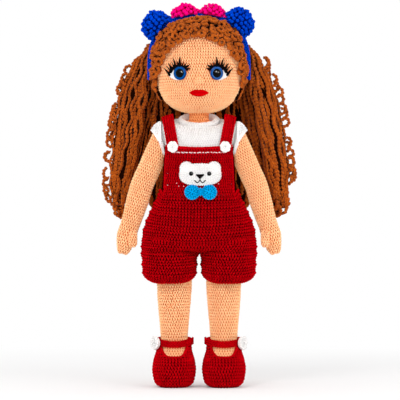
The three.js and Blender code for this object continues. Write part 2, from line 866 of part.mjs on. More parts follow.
function addShorts() {
  const crotch = [
    flatRing(0, 0, crotchHeight, shortsLegPlace, shortsLegHalfDepth * crotchDepthShare, trunkSquareness),
    flatRing(0, 0, trunkBottom + overallOut, hipHalfWidth, hipHalfDepth + overallOut, trunkSquareness),
  ];
  const outer = trunkForm(overallOut)
    .intersect(above(trunkBottom))
    .subtract(above(waistHeight))
    .add(solidOf(loft(crotch, trunkFacets)))
    .add(shortsLeg(1, 0))
    .add(shortsLeg(-1, 0));
  const inner = trunkForm(overallIn)
    .add(shortsLeg(1, overallThickness))
    .add(shortsLeg(-1, overallThickness));
  add("torso", "overall_shorts", outer.subtract(inner), colours.red);
}

function bibShape(halfTop, halfBottom, bottom) {
  const shape = new THREE.Shape();
  shape.moveTo(-halfBottom, bottom);
  shape.lineTo(halfBottom, bottom);
  shape.lineTo(halfTop, bibTop);
  shape.quadraticCurveTo(0, bibTop - 2 * bibDip, -halfTop, bibTop);
  return shape;
}

function strapShape(sign, bottom) {
  const topPlace = sign * strapTopPlace;
  const bottomPlace = sign * (strapTopPlace - strapSlope * (strapTopHeight - bottom));
  const rise = overallOut * 2;
  const overPlace = sign * (strapTopPlace + strapSlope * rise);
  const half = (sign * strapWidth) / 2;
  return new THREE.Shape([
    new THREE.Vector2(bottomPlace - half, bottom),
    new THREE.Vector2(bottomPlace + half, bottom),
    new THREE.Vector2(topPlace + half, strapTopHeight),
    new THREE.Vector2(overPlace + half, strapTopHeight + rise),
    new THREE.Vector2(overPlace - half, strapTopHeight + rise),
    new THREE.Vector2(topPlace - half, strapTopHeight),
  ]);
}

function clothLayer(inner, outer) {
  return trunkForm(outer).subtract(trunkForm(inner));
}

// A round crocheted button with petals, its back at height 0 of its own frame
function buttonSolid(frame) {
  const outline = new THREE.Shape();
  const count = 4 * buttonPetals;
  for (let i = 0; i < count; i++) {
    const angle = (2 * Math.PI * i) / count;
    const radius = buttonRadius * (1 - petalShare + petalShare * Math.cos(buttonPetals * angle));
    const [x, y] = [radius * Math.cos(angle), radius * Math.sin(angle)];
    if (i === 0) outline.moveTo(x, y);
    else outline.lineTo(x, y);
  }
  const button = new THREE.ExtrudeGeometry(outline, { depth: buttonThickness, bevelEnabled: false });
  return solidOf(button.applyMatrix4(frame));
}

// How far in front of the middle the overall's face lies at a place
function bibDepth(x, height) {
  const share = (height - trunkBottom) / (trunkTop - trunkBottom);
  const halfWidth = hipHalfWidth * valueAt(trunkShares, share, 1) + overallOut;
  const halfDepth = hipHalfDepth * valueAt(trunkShares, share, 2) + overallOut;
  return halfDepth * (1 - (x / halfWidth) ** trunkSquareness) ** (1 / trunkSquareness);
}

function addBibAndStraps() {
  const bottom = waistHeight + seatGap;
  const bib = clothLayer(overallIn, overallOut)
    .intersect(slab(bibShape(bibTopHalfWidth, bibBottomHalfWidth, bottom)));
  add("torso", "overall_bib", bib, colours.red);
  for (const [name, sign] of [["left", 1], ["right", -1]]) {
    const front = slab(strapShape(sign, strapFrontEnd));
    const back = slab(strapShape(sign, bottom), false);
    const strap = clothLayer(overallIn, overallOut).intersect(front.add(back));
    add("torso", `${name}_strap`, strap, colours.red);
    const seat = bibDepth(bibButtonPlace - buttonRadius / 2, bibButtonHeight);
    const frame = new THREE.Matrix4().makeTranslation(
      sign * bibButtonPlace,
      buttonThickness / 2 - seat,
      bibButtonHeight,
    );
    frame.multiply(new THREE.Matrix4().makeRotationX(Math.PI / 2));
    const button = buttonSolid(frame).subtract(trunkForm(overallOut + seatGap));
    add("torso", `${name}_bib_button`, button, colours.white);
  }
}

// Bear face and bow, sewn on the bib

function bearShape() {
  return slab(ellipseShape(0, bearHeight, bearHalfWidth, bearHalfHeight))
    .add(slab(ellipseShape(bearEarPlace, bearHeight + bearEarRise, bearEarRadius, bearEarRadius)))
    .add(slab(ellipseShape(-bearEarPlace, bearHeight + bearEarRise, bearEarRadius, bearEarRadius)));
}

function mouthShape() {
  const top = bearHeight + bearNoseRise - bearNoseHeight - seatGap;
  const half = bearMouthLine / 2;
  const drop = bearMouthDrop;
  const shape = new THREE.Shape();
  shape.moveTo(-half, top);
  shape.lineTo(-half, top - drop / 2);
  shape.quadraticCurveTo(-bearMouthWidth / 4, top - 1.6 * drop, -bearMouthWidth / 2, top - drop / 2);
  shape.lineTo(-bearMouthWidth / 2 - half, top - drop / 2 - half);
  shape.quadraticCurveTo(-bearMouthWidth / 4, top - 2.2 * drop, 0, top - drop);
  shape.quadraticCurveTo(bearMouthWidth / 4, top - 2.2 * drop, bearMouthWidth / 2 + half, top - drop / 2 - half);
  shape.lineTo(bearMouthWidth / 2, top - drop / 2);
  shape.quadraticCurveTo(bearMouthWidth / 4, top - 1.6 * drop, half, top - drop / 2);
  shape.lineTo(half, top);
  return shape;
}

function addBear() {
  const faceIn = overallOut + seatGap;
  const faceOut = faceIn + appliqueThickness;
  const trim = clothLayer(faceOut + seatGap, faceOut + seatGap + trimThickness);
  add("torso", "bear_face", clothLayer(faceIn, faceOut).intersect(bearShape()), colours.white);
  for (const [name, sign] of [["left", 1], ["right", -1]]) {
    const eye = ellipseShape(sign * bearEyePlace, bearHeight + bearEyeRise, bearEyeRadius, bearEyeRadius);
    add("torso", `bear_${name}_eye`, trim.intersect(slab(eye)), colours.black, 0.2);
    const bow = ellipseShape(sign * bowPlace, bowHeight, bowRadius, bowRadius);
    const knotSide = block(
      new THREE.Vector3(-knotHalfWidth - seatGap, -cutReach, 0),
      new THREE.Vector3(knotHalfWidth + seatGap, 0, cutReach),
    );
    const below = bearShape();
    const disc = clothLayer(faceIn, faceOut).intersect(slab(bow)).subtract(knotSide);
    const clearBear = clothLayer(overallOut, faceOut + seatGap).intersect(
      slab(ellipseShape(0, bearHeight, bearHalfWidth + seatGap, bearHalfHeight + seatGap)),
    );
    add("torso", `bow_${name}_disc`, disc.subtract(clearBear).subtract(below), colours.bow);
  }
  const noseTop = bearHeight + bearNoseRise;
  const nose = new THREE.Shape([
    new THREE.Vector2(-bearNoseHalfWidth, noseTop),
    new THREE.Vector2(0, noseTop - bearNoseHeight),
    new THREE.Vector2(bearNoseHalfWidth, noseTop),
  ]);
  add("torso", "bear_nose", trim.intersect(slab(nose)), colours.black, 0.5);
  add("torso", "bear_mouth", trim.intersect(slab(mouthShape())), colours.black, 0.7);
  const knot = ellipseShape(0, bowHeight, knotHalfWidth, knotHalfHeight);
  const clearBear = slab(ellipseShape(0, bearHeight, bearHalfWidth + seatGap, bearHalfHeight + seatGap));
  const knotSolid = clothLayer(faceIn, faceOut + trimThickness).intersect(slab(knot)).subtract(clearBear);
  add("torso", "bow_knot", knotSolid, colours.bow);
}

// Legs and shoes

const insoleBottom = soleThickness + seatGap;
const footBottom = insoleBottom + insoleThickness + seatGap;

function footRing(sign, share, wide, front, back, grow) {
  const frontReach = footFront * front + grow;
  const backReach = footBack * back + grow;
  const height = THREE.MathUtils.lerp(footBottom, ankleHeight, share);
  const middle = (backReach - frontReach) / 2;
  const halfDepth = (backReach + frontReach) / 2;
  return flatRing(sign * legPlace, middle, height, footHalfWidth * wide + grow, halfDepth, footSquareness);
}

function footRings(sign, grow, bottom) {
  const rings = footShares.map(([share, wide, front, back]) => footRing(sign, share, wide, front, back, grow));
  rings[0].centre.z = bottom;
  const last = ankleRadius + grow;
  rings.push(flatRing(sign * legPlace, 0, ankleHeight + grow, last, last, footSquareness));
  return rings;
}

function legSolid(sign) {
  const rings = footRings(sign, 0, footBottom);
  rings.push(flatRing(sign * legPlace, 0, hemHeight - hemLegRadius, hemLegRadius * 0.94, hemLegRadius * 0.94));
  rings.push(flatRing(sign * legPlace, 0, hemHeight, hemLegRadius, hemLegRadius));
  rings.push(flatRing(sign * legTopPlace, 0, legTop, legTopRadius, legTopRadius));
  return solidOf(loft(rings, limbFacets));
}

function insoleSolid(sign) {
  const low = footRing(sign, ...footShares[0], 0);
  const high = footRing(sign, ...footShares[0], 0);
  low.centre.z = insoleBottom;
  high.centre.z = insoleBottom + insoleThickness;
  return solidOf(loft([low, high], limbFacets));
}

// The side view of what is cut away over the instep, in front of the ankle
function instepCut() {
  const top = shoeRimHeight + ankleRadius;
  const outline = new THREE.Shape();
  outline.moveTo(cutReach / 8, vampHeight);
  outline.lineTo(vampBack, vampHeight);
  outline.quadraticCurveTo(quarterFront, vampHeight, quarterFront, shoeRimHeight);
  outline.lineTo(quarterFront, top);
  outline.lineTo(cutReach / 8, top);
  const width = cutReach / 2;
  const cut = new THREE.ExtrudeGeometry(outline, { depth: width, bevelEnabled: false, curveSegments: 4 });
  cut.translate(0, 0, -width / 2);
  cut.rotateX(Math.PI / 2);
  cut.rotateZ(-Math.PI / 2);
  return solidOf(cut);
}

function shoeSolid(sign) {
  const outer = footRings(sign, shoeWall + seatGap, 0);
  outer[0].side.x += shoeBulge - shoeWall / 2;
  outer[1].side.x += shoeBulge;
  outer.at(-1).centre.z = shoeRimHeight;
  const inner = footRings(sign, seatGap, soleThickness);
  inner.push(flatRing(sign * legPlace, 0, shoeRimHeight + ankleRadius, ankleRadius + seatGap, ankleRadius + seatGap));
  const shell = solidOf(loft(outer, limbFacets)).subtract(solidOf(loft(inner, limbFacets)));
  return shell.subtract(instepCut());
}

function shoeStrapSolid(sign) {
  const inner = ankleRadius + shoeWall + 2 * seatGap;
  const outer = inner + shoeStrapThickness;
  const bottom = shoeStrapMiddle - shoeStrapHeight / 2;
  const ring = solidOf(
    loft([flatRing(0, 0, bottom, outer, outer), flatRing(0, 0, bottom + shoeStrapHeight, outer, outer)], 2 * limbFacets),
  );
  const bore = post(inner, bottom - shoeStrapHeight, bottom + 2 * shoeStrapHeight, 2 * limbFacets);
  const strap = ring.subtract(bore).intersect(inFrontOf(shoeStrapBack));
  return strap.translate(sign * legPlace, 0, 0);
}

function shoeButtonFrame(sign) {
  const seat = ankleRadius + shoeWall + shoeStrapThickness + 3 * seatGap;
  const out = new THREE.Vector3(sign * Math.cos(shoeButtonTurn), -Math.sin(shoeButtonTurn), 0);
  const turn = new THREE.Quaternion().setFromUnitVectors(new THREE.Vector3(0, 0, 1), out);
  const place = out.multiplyScalar(seat).add(new THREE.Vector3(sign * legPlace, 0, shoeStrapMiddle));
  return new THREE.Matrix4().compose(place, turn, new THREE.Vector3(1, 1, 1));
}

function addLegs() {
  for (const [name, sign] of [["left", 1], ["right", -1]]) {
    const strap = shoeStrapSolid(sign).subtract(
      solidOf(loft(footRings(sign, shoeWall + 2 * seatGap, 0), limbFacets)),
    );
    add("torso", `${name}_leg`, legSolid(sign), colours.skin);
    add("torso", `${name}_insole`, insoleSolid(sign), colours.board, 0.8);
    add("torso", `${name}_shoe`, shoeSolid(sign), colours.red);
    add("torso", `${name}_shoe_strap`, strap, colours.red);
    add("torso", `${name}_shoe_button`, buttonSolid(shoeButtonFrame(sign)), colours.white);
  }
}

// Arms and sleeves

function armForm(sign, grow) {
  const rings = [];
  const spine = (down, out) =>
    new THREE.Vector3(
      sign * (armPlace + armReachOut * out),
      -armForward * down,
      shoulderHeight - armReachDown * down,
    );
  armShares.forEach(([down, out, wide, deep], i) => {
    const before = armShares[Math.max(0, i - 1)];
    const after = armShares[Math.min(armShares.length - 1, i + 1)];
    const along = spine(after[0], after[1]).sub(spine(before[0], before[1])).normalize();
    const side = new THREE.Vector3(0, 1, 0).cross(along).normalize();
    rings.push({
      centre: spine(down, out),
      side: side.multiplyScalar(-armRadius * wide - grow),
      fore: new THREE.Vector3(0, armRadius * deep + grow, 0),
      square: 2,
    });
  });
  for (const [rise, wide] of armCrownShares) {
    const radius = armRadius * wide + grow;
    const top = shoulderHeight + rise * (armRadius + grow);
    rings.unshift(flatRing(sign * armPlace, 0, top, radius, radius));
  }
  rings.reverse();
  return solidOf(loft(rings, limbFacets));
}

// Everything beside the trunk that the turning arm has to keep clear of, round the shoulder's axis
function socketForm(sign, grow) {
  const profile = [
    [0, 0],
    [socketReach, 0],
    [socketReach, socketNeckFace + grow],
    [socketNeckRadius, socketNeckFace + grow],
    [socketRadius, socketFace + grow],
    [0, socketFace + grow],
  ];
  const frame = new THREE.Matrix4().makeTranslation(0, 0, shoulderHeight);
  frame.multiply(new THREE.Matrix4().makeRotationY((sign * Math.PI) / 2));
  return turned(profile, frame, trunkFacets);
}

function sleeveRegion(sign) {
  const reach = cutReach / 4;
  const slope = new THREE.Vector2(sleeveHemOut - sleeveHemIn, sleeveHemTop - sleeveHemBottom).normalize();
  const low = new THREE.Vector2(sleeveHemIn, sleeveHemBottom).addScaledVector(slope, -reach);
  const high = new THREE.Vector2(sleeveHemOut, sleeveHemTop).addScaledVector(slope, reach);
  const shape = new THREE.Shape([
    new THREE.Vector2(sign * low.x, low.y),
    new THREE.Vector2(sign * high.x, high.y),
    new THREE.Vector2(sign * (high.x - reach), high.y),
    new THREE.Vector2(sign * (low.x - 2 * reach), low.y),
  ]);
  return slab(shape).add(slab(shape, false));
}

function thumbSolid(sign, grow) {
  const rings = [];
  const steps = 6;
  for (let i = 0; i <= steps; i++) {
    const way = i / steps;
    const radius = thumbRadius * Math.sqrt(Math.max(0.08, 1 - (2 * way - 1) ** 4)) + grow;
    const drop = thumbDrop + thumbLength * (1 - way);
    const place = armPlace + thumbPlaceOut - thumbLength * thumbLean * (1 - way);
    const depth = -armForward * (drop / armReachDown) - armRadius * handDepthShare;
    rings.push(flatRing(sign * place, depth, shoulderHeight - drop, radius, radius));
  }
  return solidOf(loft(rings, limbFacets / 2));
}

function addArms() {
  for (const [name, sign] of [["left", 1], ["right", -1]]) {
    const body = `${name}Arm`;
    const arm = armForm(sign, 0).add(thumbSolid(sign, 0)).subtract(socketForm(sign, 0));
    const sleeve = armForm(sign, sleeveThickness + seatGap)
      .subtract(armForm(sign, seatGap))
      .subtract(socketForm(sign, seatGap))
      .intersect(sleeveRegion(sign));
    add(body, `${name}_arm`, arm, colours.skin);
    add(body, `${name}_sleeve`, sleeve, colours.shirt);
  }
}

addTrunk();
addShirt();
addShorts();
addBibAndStraps();
addBear();
addLegs();
addFace();
addCapAndFringe();
addHair();
addHeadband();
addArms();

const doll = new THREE.Group();
const groups = Object.fromEntries(Object.keys(parts).map((name) => [name, new THREE.Group()]));
for (const [name, meshes] of Object.entries(parts)) groups[name].add(...meshes);
doll.add(groups.torso);
groups.torso.add(groups.head, groups.leftArm, groups.rightArm);
groups.head.add(groups.headband);

// The origin lies on the ground under the middle of the whole doll
const box = new THREE.Box3().setFromObject(doll);
const middle = box.getCenter(new THREE.Vector3());
doll.position.set(-middle.x, -middle.y, -box.min.z);

export default doll;
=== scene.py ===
"""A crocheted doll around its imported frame: every stitch is a small loop of yarn laid in rows over the part's forms.

Lengths are millimetres until a mesh is made. X is to the viewer's right, the doll faces -Y, Z is up.
"""
import math

import bpy
import numpy as np
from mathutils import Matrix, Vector


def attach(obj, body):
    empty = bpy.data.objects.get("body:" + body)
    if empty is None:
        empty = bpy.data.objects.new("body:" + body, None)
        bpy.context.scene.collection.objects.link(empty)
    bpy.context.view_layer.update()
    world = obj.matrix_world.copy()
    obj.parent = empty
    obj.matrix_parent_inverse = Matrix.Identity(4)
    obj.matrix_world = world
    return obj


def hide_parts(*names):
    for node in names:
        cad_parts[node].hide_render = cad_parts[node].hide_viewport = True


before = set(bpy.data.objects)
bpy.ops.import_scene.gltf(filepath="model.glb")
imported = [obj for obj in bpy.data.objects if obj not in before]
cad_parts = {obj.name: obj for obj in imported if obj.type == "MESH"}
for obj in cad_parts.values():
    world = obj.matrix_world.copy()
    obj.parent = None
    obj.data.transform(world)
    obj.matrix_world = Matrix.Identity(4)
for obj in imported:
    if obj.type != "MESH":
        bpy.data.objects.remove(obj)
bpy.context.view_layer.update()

rng = np.random.default_rng(11)
TAU = 2 * math.pi
METRE = 0.001  # one millimetre in metres
MIDDLE_Y = -8.30708  # the doll's own middle plane in the frame
UP = np.array([0, 0, 1.0])
SIDES = {"left": 1, "right": -1}


# Sizes of the forms, as in the part's source

HEAD_W, HEAD_D, HEAD_H, HEAD_MID, HEAD_Q = 43.5, 41.5, 46.1, 318.7, 2.5
HEAD_CENTRE = np.array([0, 0, HEAD_MID])
TRUNK_LOW, TRUNK_TOP, HIP_W, HIP_D, TRUNK_Q = 140.3, 266.5, 51.7, 36.5, 2.4
TRUNK = [
    (0, 0.985, 0.97), (0.08, 1, 1), (0.19, 0.925, 0.96), (0.3, 0.8, 0.86), (0.4, 0.685, 0.755),
    (0.5, 0.645, 0.705), (0.64, 0.61, 0.66), (0.76, 0.605, 0.615), (0.84, 0.645, 0.575), (0.9, 0.685, 0.52),
    (0.94, 0.675, 0.45), (0.97, 0.58, 0.37), (0.99, 0.39, 0.27), (1, 0.21, 0.18),
]
SHIRT_OUT, OVERALL_IN, OVERALL_OUT = 2.3, 2.6, 5.6
OVERALL_CLOTH, OVERALL_ON = OVERALL_OUT - 1.1, OVERALL_OUT - 0.5  # its cloth's outer side and its stitches
PATCH_IN, PATCH_OUT, TRIM_IN, TRIM_OUT = 5.9, 8.4, 8.7, 9.9
WAIST, HEM, CROTCH = 191.0, 103.3, 133.0
LEG_SPREAD, LEG_Q = 29.5, 2.2
SHORTS_LEG = [
    (104.4, 20.8, 26.5), (105.2, 23.4, 29.0), (107.0, 25.2, 31.4), (111.0, 26.5, 33.8), (121.0, 27.2, 35.8),
    (131.0, 27.4, 37.4), (142.0, 27.2, 39.0),
]
FOOT_X, FOOT_W, FOOT_FRONT, FOOT_BACK, FOOT_LOW, ANKLE = 24.8, 18.0, 38.5, 14.3, 5.1, 51.0
FOOT = [
    (0, 0.82, 0.86, 0.84), (0.06, 0.95, 0.96, 0.96), (0.26, 1, 1, 1), (0.44, 0.95, 0.9, 1),
    (0.54, 0.88, 0.72, 0.99), (0.66, 0.79, 0.52, 0.97), (0.82, 0.75, 0.39, 0.94),
]
FOOT_Q, ANKLE_R, HEM_R, LEG_TOP_R = 2.2, 13.3, 17.3, 20.0
SHOULDER, ARM_X, ARM_R, ARM_DOWN, ARM_OUT, ARM_FORE = 250.0, 34.5, 12.0, 118.0, 42.0, 4.0
ARM = [
    (0, 0, 0.96, 0.96), (0.16, 0.22, 0.91, 0.91), (0.29, 0.376, 0.92, 0.92), (0.42, 0.537, 0.92, 0.92),
    (0.55, 0.642, 0.91, 0.91), (0.68, 0.75, 0.82, 0.82), (0.76, 0.825, 0.77, 0.72), (0.84, 0.9, 0.79, 0.6),
    (0.9, 0.935, 0.69, 0.54), (0.95, 0.962, 0.58, 0.45), (0.985, 0.99, 0.42, 0.34), (1, 1, 0.24, 0.2),
]
ARM_CROWN = [(1, 0.2), (0.85, 0.52), (0.5, 0.86)]
HAIR_TOP, HAIR_SIDE_TOP, HAIR_TIP = 357.0, 342.1, 172.0
HAIR_OUT_W, HAIR_OUT_D, HAIR_IN_W, HAIR_IN_D = 95.0, 62.0, 76.0, 43.0
HAIR = [
    (0, 0.46, 0.68, 0, 0), (0.08, 0.6, 0.83, 0, 0), (0.17, 0.72, 0.92, 0, 0), (0.25, 0.78, 0.93, 0.1, 0.02),
    (0.335, 0.845, 0.95, 0.45, -0.6), (0.43, 0.885, 0.95, 0.76, -2.2), (0.51, 0.92, 0.94, 1, -4.6),
    (0.66, 0.96, 0.94, 1, -5.2), (0.79, 0.99, 0.97, 1, -3), (0.9, 1, 1, 1, 0), (1, 0.98, 1, 1, 1),
]
LOCKS = [0.004, 0.13, 0.27, 0.42, 0.58, 0.73, 0.87, 0.996]
LOCK_TAPER = [
    (0, 0.7, 0.5), (0.07, 0.9, 0.85), (0.16, 0.98, 0.97), (0.3, 1, 1), (0.62, 1, 1), (0.76, 0.98, 1),
    (0.88, 0.86, 0.9), (0.96, 0.62, 0.66), (1, 0.3, 0.36),
]
LOCK_NAMES = [
    "left_front_hair", "left_side_hair", "left_back_hair", "middle_back_hair",
    "right_back_hair", "right_side_hair", "right_front_hair",
]

# Gauges: a row's height, a stitch's width, and its yarn's half thickness as a share of that width

HEAD_GAUGE, LIMB_GAUGE = (2.95, 2.6, 0.205), (2.9, 2.6, 0.205)
THUMB_GAUGE, NECK_GAUGE, NOSE_GAUGE = (2.8, 2.5, 0.21), (2.7, 2.5, 0.21), (2.1, 2.3, 0.26)
SHIRT_GAUGE, ROLL_GAUGE, CAP_GAUGE = (2.5, 2.45, 0.25), (2.6, 2.5, 0.25), (3.4, 3.2, 0.235)
SHORTS_GAUGE, SHOE_GAUGE, BIB_GAUGE = (3.05, 3.2, 0.19), (3.1, 3.1, 0.19), (2.7, 2.65, 0.195)
PATCH_GAUGE, EAR_GAUGE, KNOT_GAUGE = (2.4, 2.4, 0.25), (2.3, 2.3, 0.25), (1.9, 2.0, 0.27)
CLOTH = {"spread": 0.345, "reach": 0.56}  # the shape of a plain stitch
OPEN_CLOTH = {"bow": 0.22, "spread": 0.33, "reach": 0.55}  # the red wool's looser one
UNDER = -0.95  # where the cloth lies under the skin's stitches
RIDGE_ROWS = 3  # rows of the shorts between two ridges
STRAY_TURN, STRAY_RISE, STRAY_WIDTH = 0.06, 0.07, 0.04  # how uneven stitches are: radians, millimetres, share


# Vectors and tables

def unit(v):
    return v / np.maximum(np.linalg.norm(v, axis=-1, keepdims=True), 1e-9)


def bulge(v, q):
    return np.sign(v) * np.abs(v) ** (2 / q)


def look_up(rows, share, column):
    return np.interp(share, [r[0] for r in rows], [r[column] for r in rows])


def round_angles(count):
    return np.arange(count) / count * TAU


def both(s, a):
    return np.broadcast_arrays(np.asarray(s, float), np.asarray(a, float))


def arc_length(path):
    """How far along a path each point lies. Over a grid, its columns' mean."""
    steps = np.linalg.norm(np.diff(path, axis=0), axis=-1)
    return np.append(0.0, np.cumsum(steps.mean(1) if steps.ndim > 1 else steps))


def read_at(at, places, points):
    """Points that are known at some places, read at others."""
    return np.stack([np.interp(at, places, column) for column in np.transpose(points)], -1)


def cubic(values, t):
    """Values read along a smooth curve through them; t counts from the first to the last."""
    values = np.asarray(values, float)
    last = len(values) - 1
    i = np.clip(np.floor(t).astype(int), 0, last - 1)
    f = t - i
    if values.ndim > 1:
        f = f[..., None]
    p0, p1 = values[np.maximum(i - 1, 0)], values[i]
    p2, p3 = values[i + 1], values[np.minimum(i + 2, last)]
    return 0.5 * (2 * p1 + (p2 - p0) * f + (2 * p0 - 5 * p1 + 4 * p2 - p3) * f**2 + (3 * p1 - p0 - 3 * p2 + p3) * f**3)


def bent(t, start, pull, end):
    """From start to end, drawn towards pull."""
    return (1 - t) ** 2 * start + 2 * t * (1 - t) * pull + t * t * end


def resample(path, pitch):
    """The path's points at equal steps near pitch, and where each lies along the old one."""
    length = arc_length(path)
    count = max(2, round(length[-1] / pitch))
    at = (np.arange(count) + 0.5) / count * length[-1]
    return read_at(at, length, path), at / length[-1]


def transport(path):
    """Tangents and a normal for each point that turns as little as it can."""
    tangent = unit(np.gradient(path, axis=0))
    first = np.cross(tangent[0], [0.0, 0.3, 1.0])
    if np.linalg.norm(first) < 0.2:
        first = np.cross(tangent[0], [1.0, 0.0, 0.0])
    normals = [unit(first)]
    for t in tangent[1:]:
        normals.append(unit(normals[-1] - t * np.dot(t, normals[-1])))
    return tangent, np.array(normals)


# Meshes

def new_object(name, data):
    thing = bpy.data.objects.new(name, data)
    bpy.context.scene.collection.objects.link(thing)
    return thing


class Piece:
    """Collects the surfaces of one piece and makes its object."""

    def __init__(self):
        self.verts, self.faces, self.count = [], [], 0

    def add(self, verts, quads=None, tris=None, mat=0, quad_uv=None):
        for faces, uv, sides in ((quads, quad_uv, 4), (tris, None, 3)):
            if faces is None:
                continue
            faces = np.reshape(faces, (-1, sides))
            if uv is None:
                uv = np.zeros((1, sides, 2))
            uv = np.broadcast_to(uv, (len(faces) // len(uv), *uv.shape)).reshape(-1, sides, 2)
            self.faces.append((faces + self.count, uv, np.broadcast_to(mat, len(faces))))
        self.verts.append(np.reshape(verts, (-1, 3)))
        self.count += len(self.verts[-1])

    def make(self, name, body, slot, nodes, mats=None):
        verts = np.concatenate(self.verts) + [0, MIDDLE_Y, 0]
        loops = np.concatenate([f.ravel() for f, _, _ in self.faces])
        sizes = np.concatenate([np.full(len(f), f.shape[1]) for f, _, _ in self.faces])
        mesh = bpy.data.meshes.new(name)
        mesh.vertices.add(len(verts))
        mesh.vertices.foreach_set("co", (verts * METRE).astype(np.float32).ravel())
        mesh.loops.add(len(loops))
        mesh.loops.foreach_set("vertex_index", loops.astype(np.int32))
        mesh.polygons.add(len(sizes))
        mesh.polygons.foreach_set("loop_start", np.append(0, np.cumsum(sizes)[:-1]).astype(np.int32))
        mesh.polygons.foreach_set("material_index", np.concatenate([m for _, _, m in self.faces]).astype(np.int32))
        mesh.update(calc_edges=True)
        layer = mesh.uv_layers.new(name="yarn", do_init=False)
        uv = np.concatenate([u.reshape(-1, 2) for _, u, _ in self.faces])
        layer.uv.foreach_set("vector", uv.astype(np.float32).ravel())
        mesh.shade_smooth()
        for mat in mats or YARNS[slot]:
            mesh.materials.append(mat)
        piece = new_object(name, mesh)
        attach(piece, body)
        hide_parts(*nodes)


def grid_cells(rows, cols, wrap=True):
    """Where each quad of a grid starts: its row, its column and the next column."""
    i, j = np.meshgrid(np.arange(rows - 1), np.arange(cols if wrap else cols - 1), indexing="ij")
    return i, j, (j + 1) % cols


def grid_quads(rows, cols, wrap=True):
    i, j, k = grid_cells(rows, cols, wrap)
    return np.stack([i * cols + j, i * cols + k, (i + 1) * cols + k, (i + 1) * cols + j], -1).reshape(-1, 4)


def end_fans(rows, cols):
    """Triangles from a point after the grid's own to its first row, and from one more to its last row."""
    low, top = rows * cols, (rows - 1) * cols
    j = np.arange(cols)
    k = (j + 1) % cols
    return np.concatenate([
        np.stack([np.full(cols, low), k, j], -1), np.stack([np.full(cols, low + 1), top + j, top + k], -1),
    ])


def closed_grid(piece, grid, ends=True, inside_out=False):
    """A skin through rows of points that run round, with a fan over each end."""
    rows, cols = grid.shape[:2]
    quads, tris = grid_quads(rows, cols), end_fans(rows, cols)
    if inside_out:
        quads, tris = quads[:, [0, 3, 2, 1]], tris[:, [0, 2, 1]]
    verts = np.concatenate([grid.reshape(-1, 3), grid[0].mean(0)[None], grid[-1].mean(0)[None]])
    piece.add(verts, quads, tris if ends else None, 1)


def skin_of(path, radii, sides, tangent, normal, length):
    """A closed tube on a path's frames: its points, quads, end triangles and the quads' yarn coordinates."""
    turn = round_angles(sides)
    ring = path[:, None] + radii[:, None, None] * (
        np.cos(turn)[None, :, None] * normal[:, None] + np.sin(turn)[None, :, None] * np.cross(tangent, normal)[:, None]
    )
    tips = [path[0] - tangent[0] * radii[0] * 0.6, path[-1] + tangent[-1] * radii[-1] * 0.6]
    i, j, _ = grid_cells(len(path), sides)
    low, high = length[i], length[i + 1]
    corners = [(j / sides, low), ((j + 1) / sides, low), ((j + 1) / sides, high), (j / sides, high)]
    uv = np.stack([np.stack(c, -1) for c in corners], -2).reshape(-1, 4, 2)
    return np.concatenate([ring.reshape(-1, 3), tips]), grid_quads(len(path), sides), end_fans(len(path), sides), uv


def tube(path, radii, sides):
    radii = np.broadcast_to(radii, len(path)).astype(float)
    return skin_of(path, radii, sides, *transport(path), arc_length(path))


def strand(piece, path, radii, sides, plied=True):
    """A thick thread along a path. One that isn't plied is smooth."""
    verts, quads, tris, uv = tube(path, radii, sides)
    piece.add(verts, quads, tris, 0, uv if plied else None)


def vee(thick, spread=0.4, reach=0.62, bow=0.16, sides=5, steps=7):
    """One stitch: a loop of yarn in a V that dips into the cloth at its foot and at both tops."""
    u = np.linspace(-1, 1, steps)
    lift = np.sin(math.pi * np.abs(u))
    path = np.stack([spread * bulge(u, 2.3), reach * (2 * np.abs(u) - 1), bow * lift - 0.05 * (np.abs(u) > 0.9)], 1)
    return tube(path, thick * (0.74 + 0.26 * lift), sides)


def stamp(piece, tile, at, side, up, out, width, height, depth, mat=0):
    """Copies of a tile, its x along side, y along up and z along out."""
    verts, quads, tris, uv = tile
    size = np.stack([np.broadcast_to(s, len(at)) for s in (width, height, depth)], -1)
    local = verts[None] * size[:, None]
    world = at[:, None] + local[..., :1] * side[:, None] + local[..., 1:2] * up[:, None] + local[..., 2:] * out[:, None]
    shift = np.arange(len(at))[:, None, None] * len(verts)
    piece.add(world, quads[None] + shift, tris[None] + shift, mat, uv)


def turned(side, up, angle):
    c, s = np.cos(angle)[:, None], np.sin(angle)[:, None]
    return side * c + up * s, up * c - side * s


def lay(piece, tile, place, width, height, depth, rise=STRAY_RISE, jitter=1.0, mat=0):
    """Stamps stitches on their frames, each a little turned, raised and widened."""
    point, side, up, out = place
    count = len(point)
    side, up = turned(side, up, rng.normal(0, STRAY_TURN * jitter, count))
    point = point + out * rng.normal(0, rise * jitter, count)[:, None]
    width = width * rng.normal(1, STRAY_WIDTH * jitter, count)
    stamp(piece, tile, point, side, up, out, width, height, depth, mat)


# Forms: a surface by its way up, from 0 to 1, and the angle round it

def rings_form(rings):
    centre, side, fore = (np.array([r[k] for r in rings], float) for k in range(3))
    square = np.array([r[3] for r in rings], float)

    def form(s, a):
        s, a = both(s, a)
        t = np.clip(s, 0, 1) * (len(rings) - 1)
        q = np.interp(t, np.arange(len(rings)), square)
        c, w, f = cubic(centre, t), cubic(side, t), cubic(fore, t)
        return c + w * bulge(np.cos(a), q)[..., None] + f * bulge(np.sin(a), q)[..., None]

    return form


def flat_ring(x, y, z, w, d, q):
    return ((x, y, z), (w, 0, 0), (0, d, 0), q)


def head_form(off):
    def form(s, a):
        s, a = both(s, a)
        rise = math.pi * (np.clip(s, 0, 1) - 0.5)
        out, up = bulge(np.cos(rise), HEAD_Q), bulge(np.sin(rise), HEAD_Q)
        return np.stack([
            (HEAD_W + off) * out * np.cos(a), (HEAD_D + off) * out * np.sin(a), HEAD_MID + (HEAD_H + off) * up,
        ], -1)

    return form


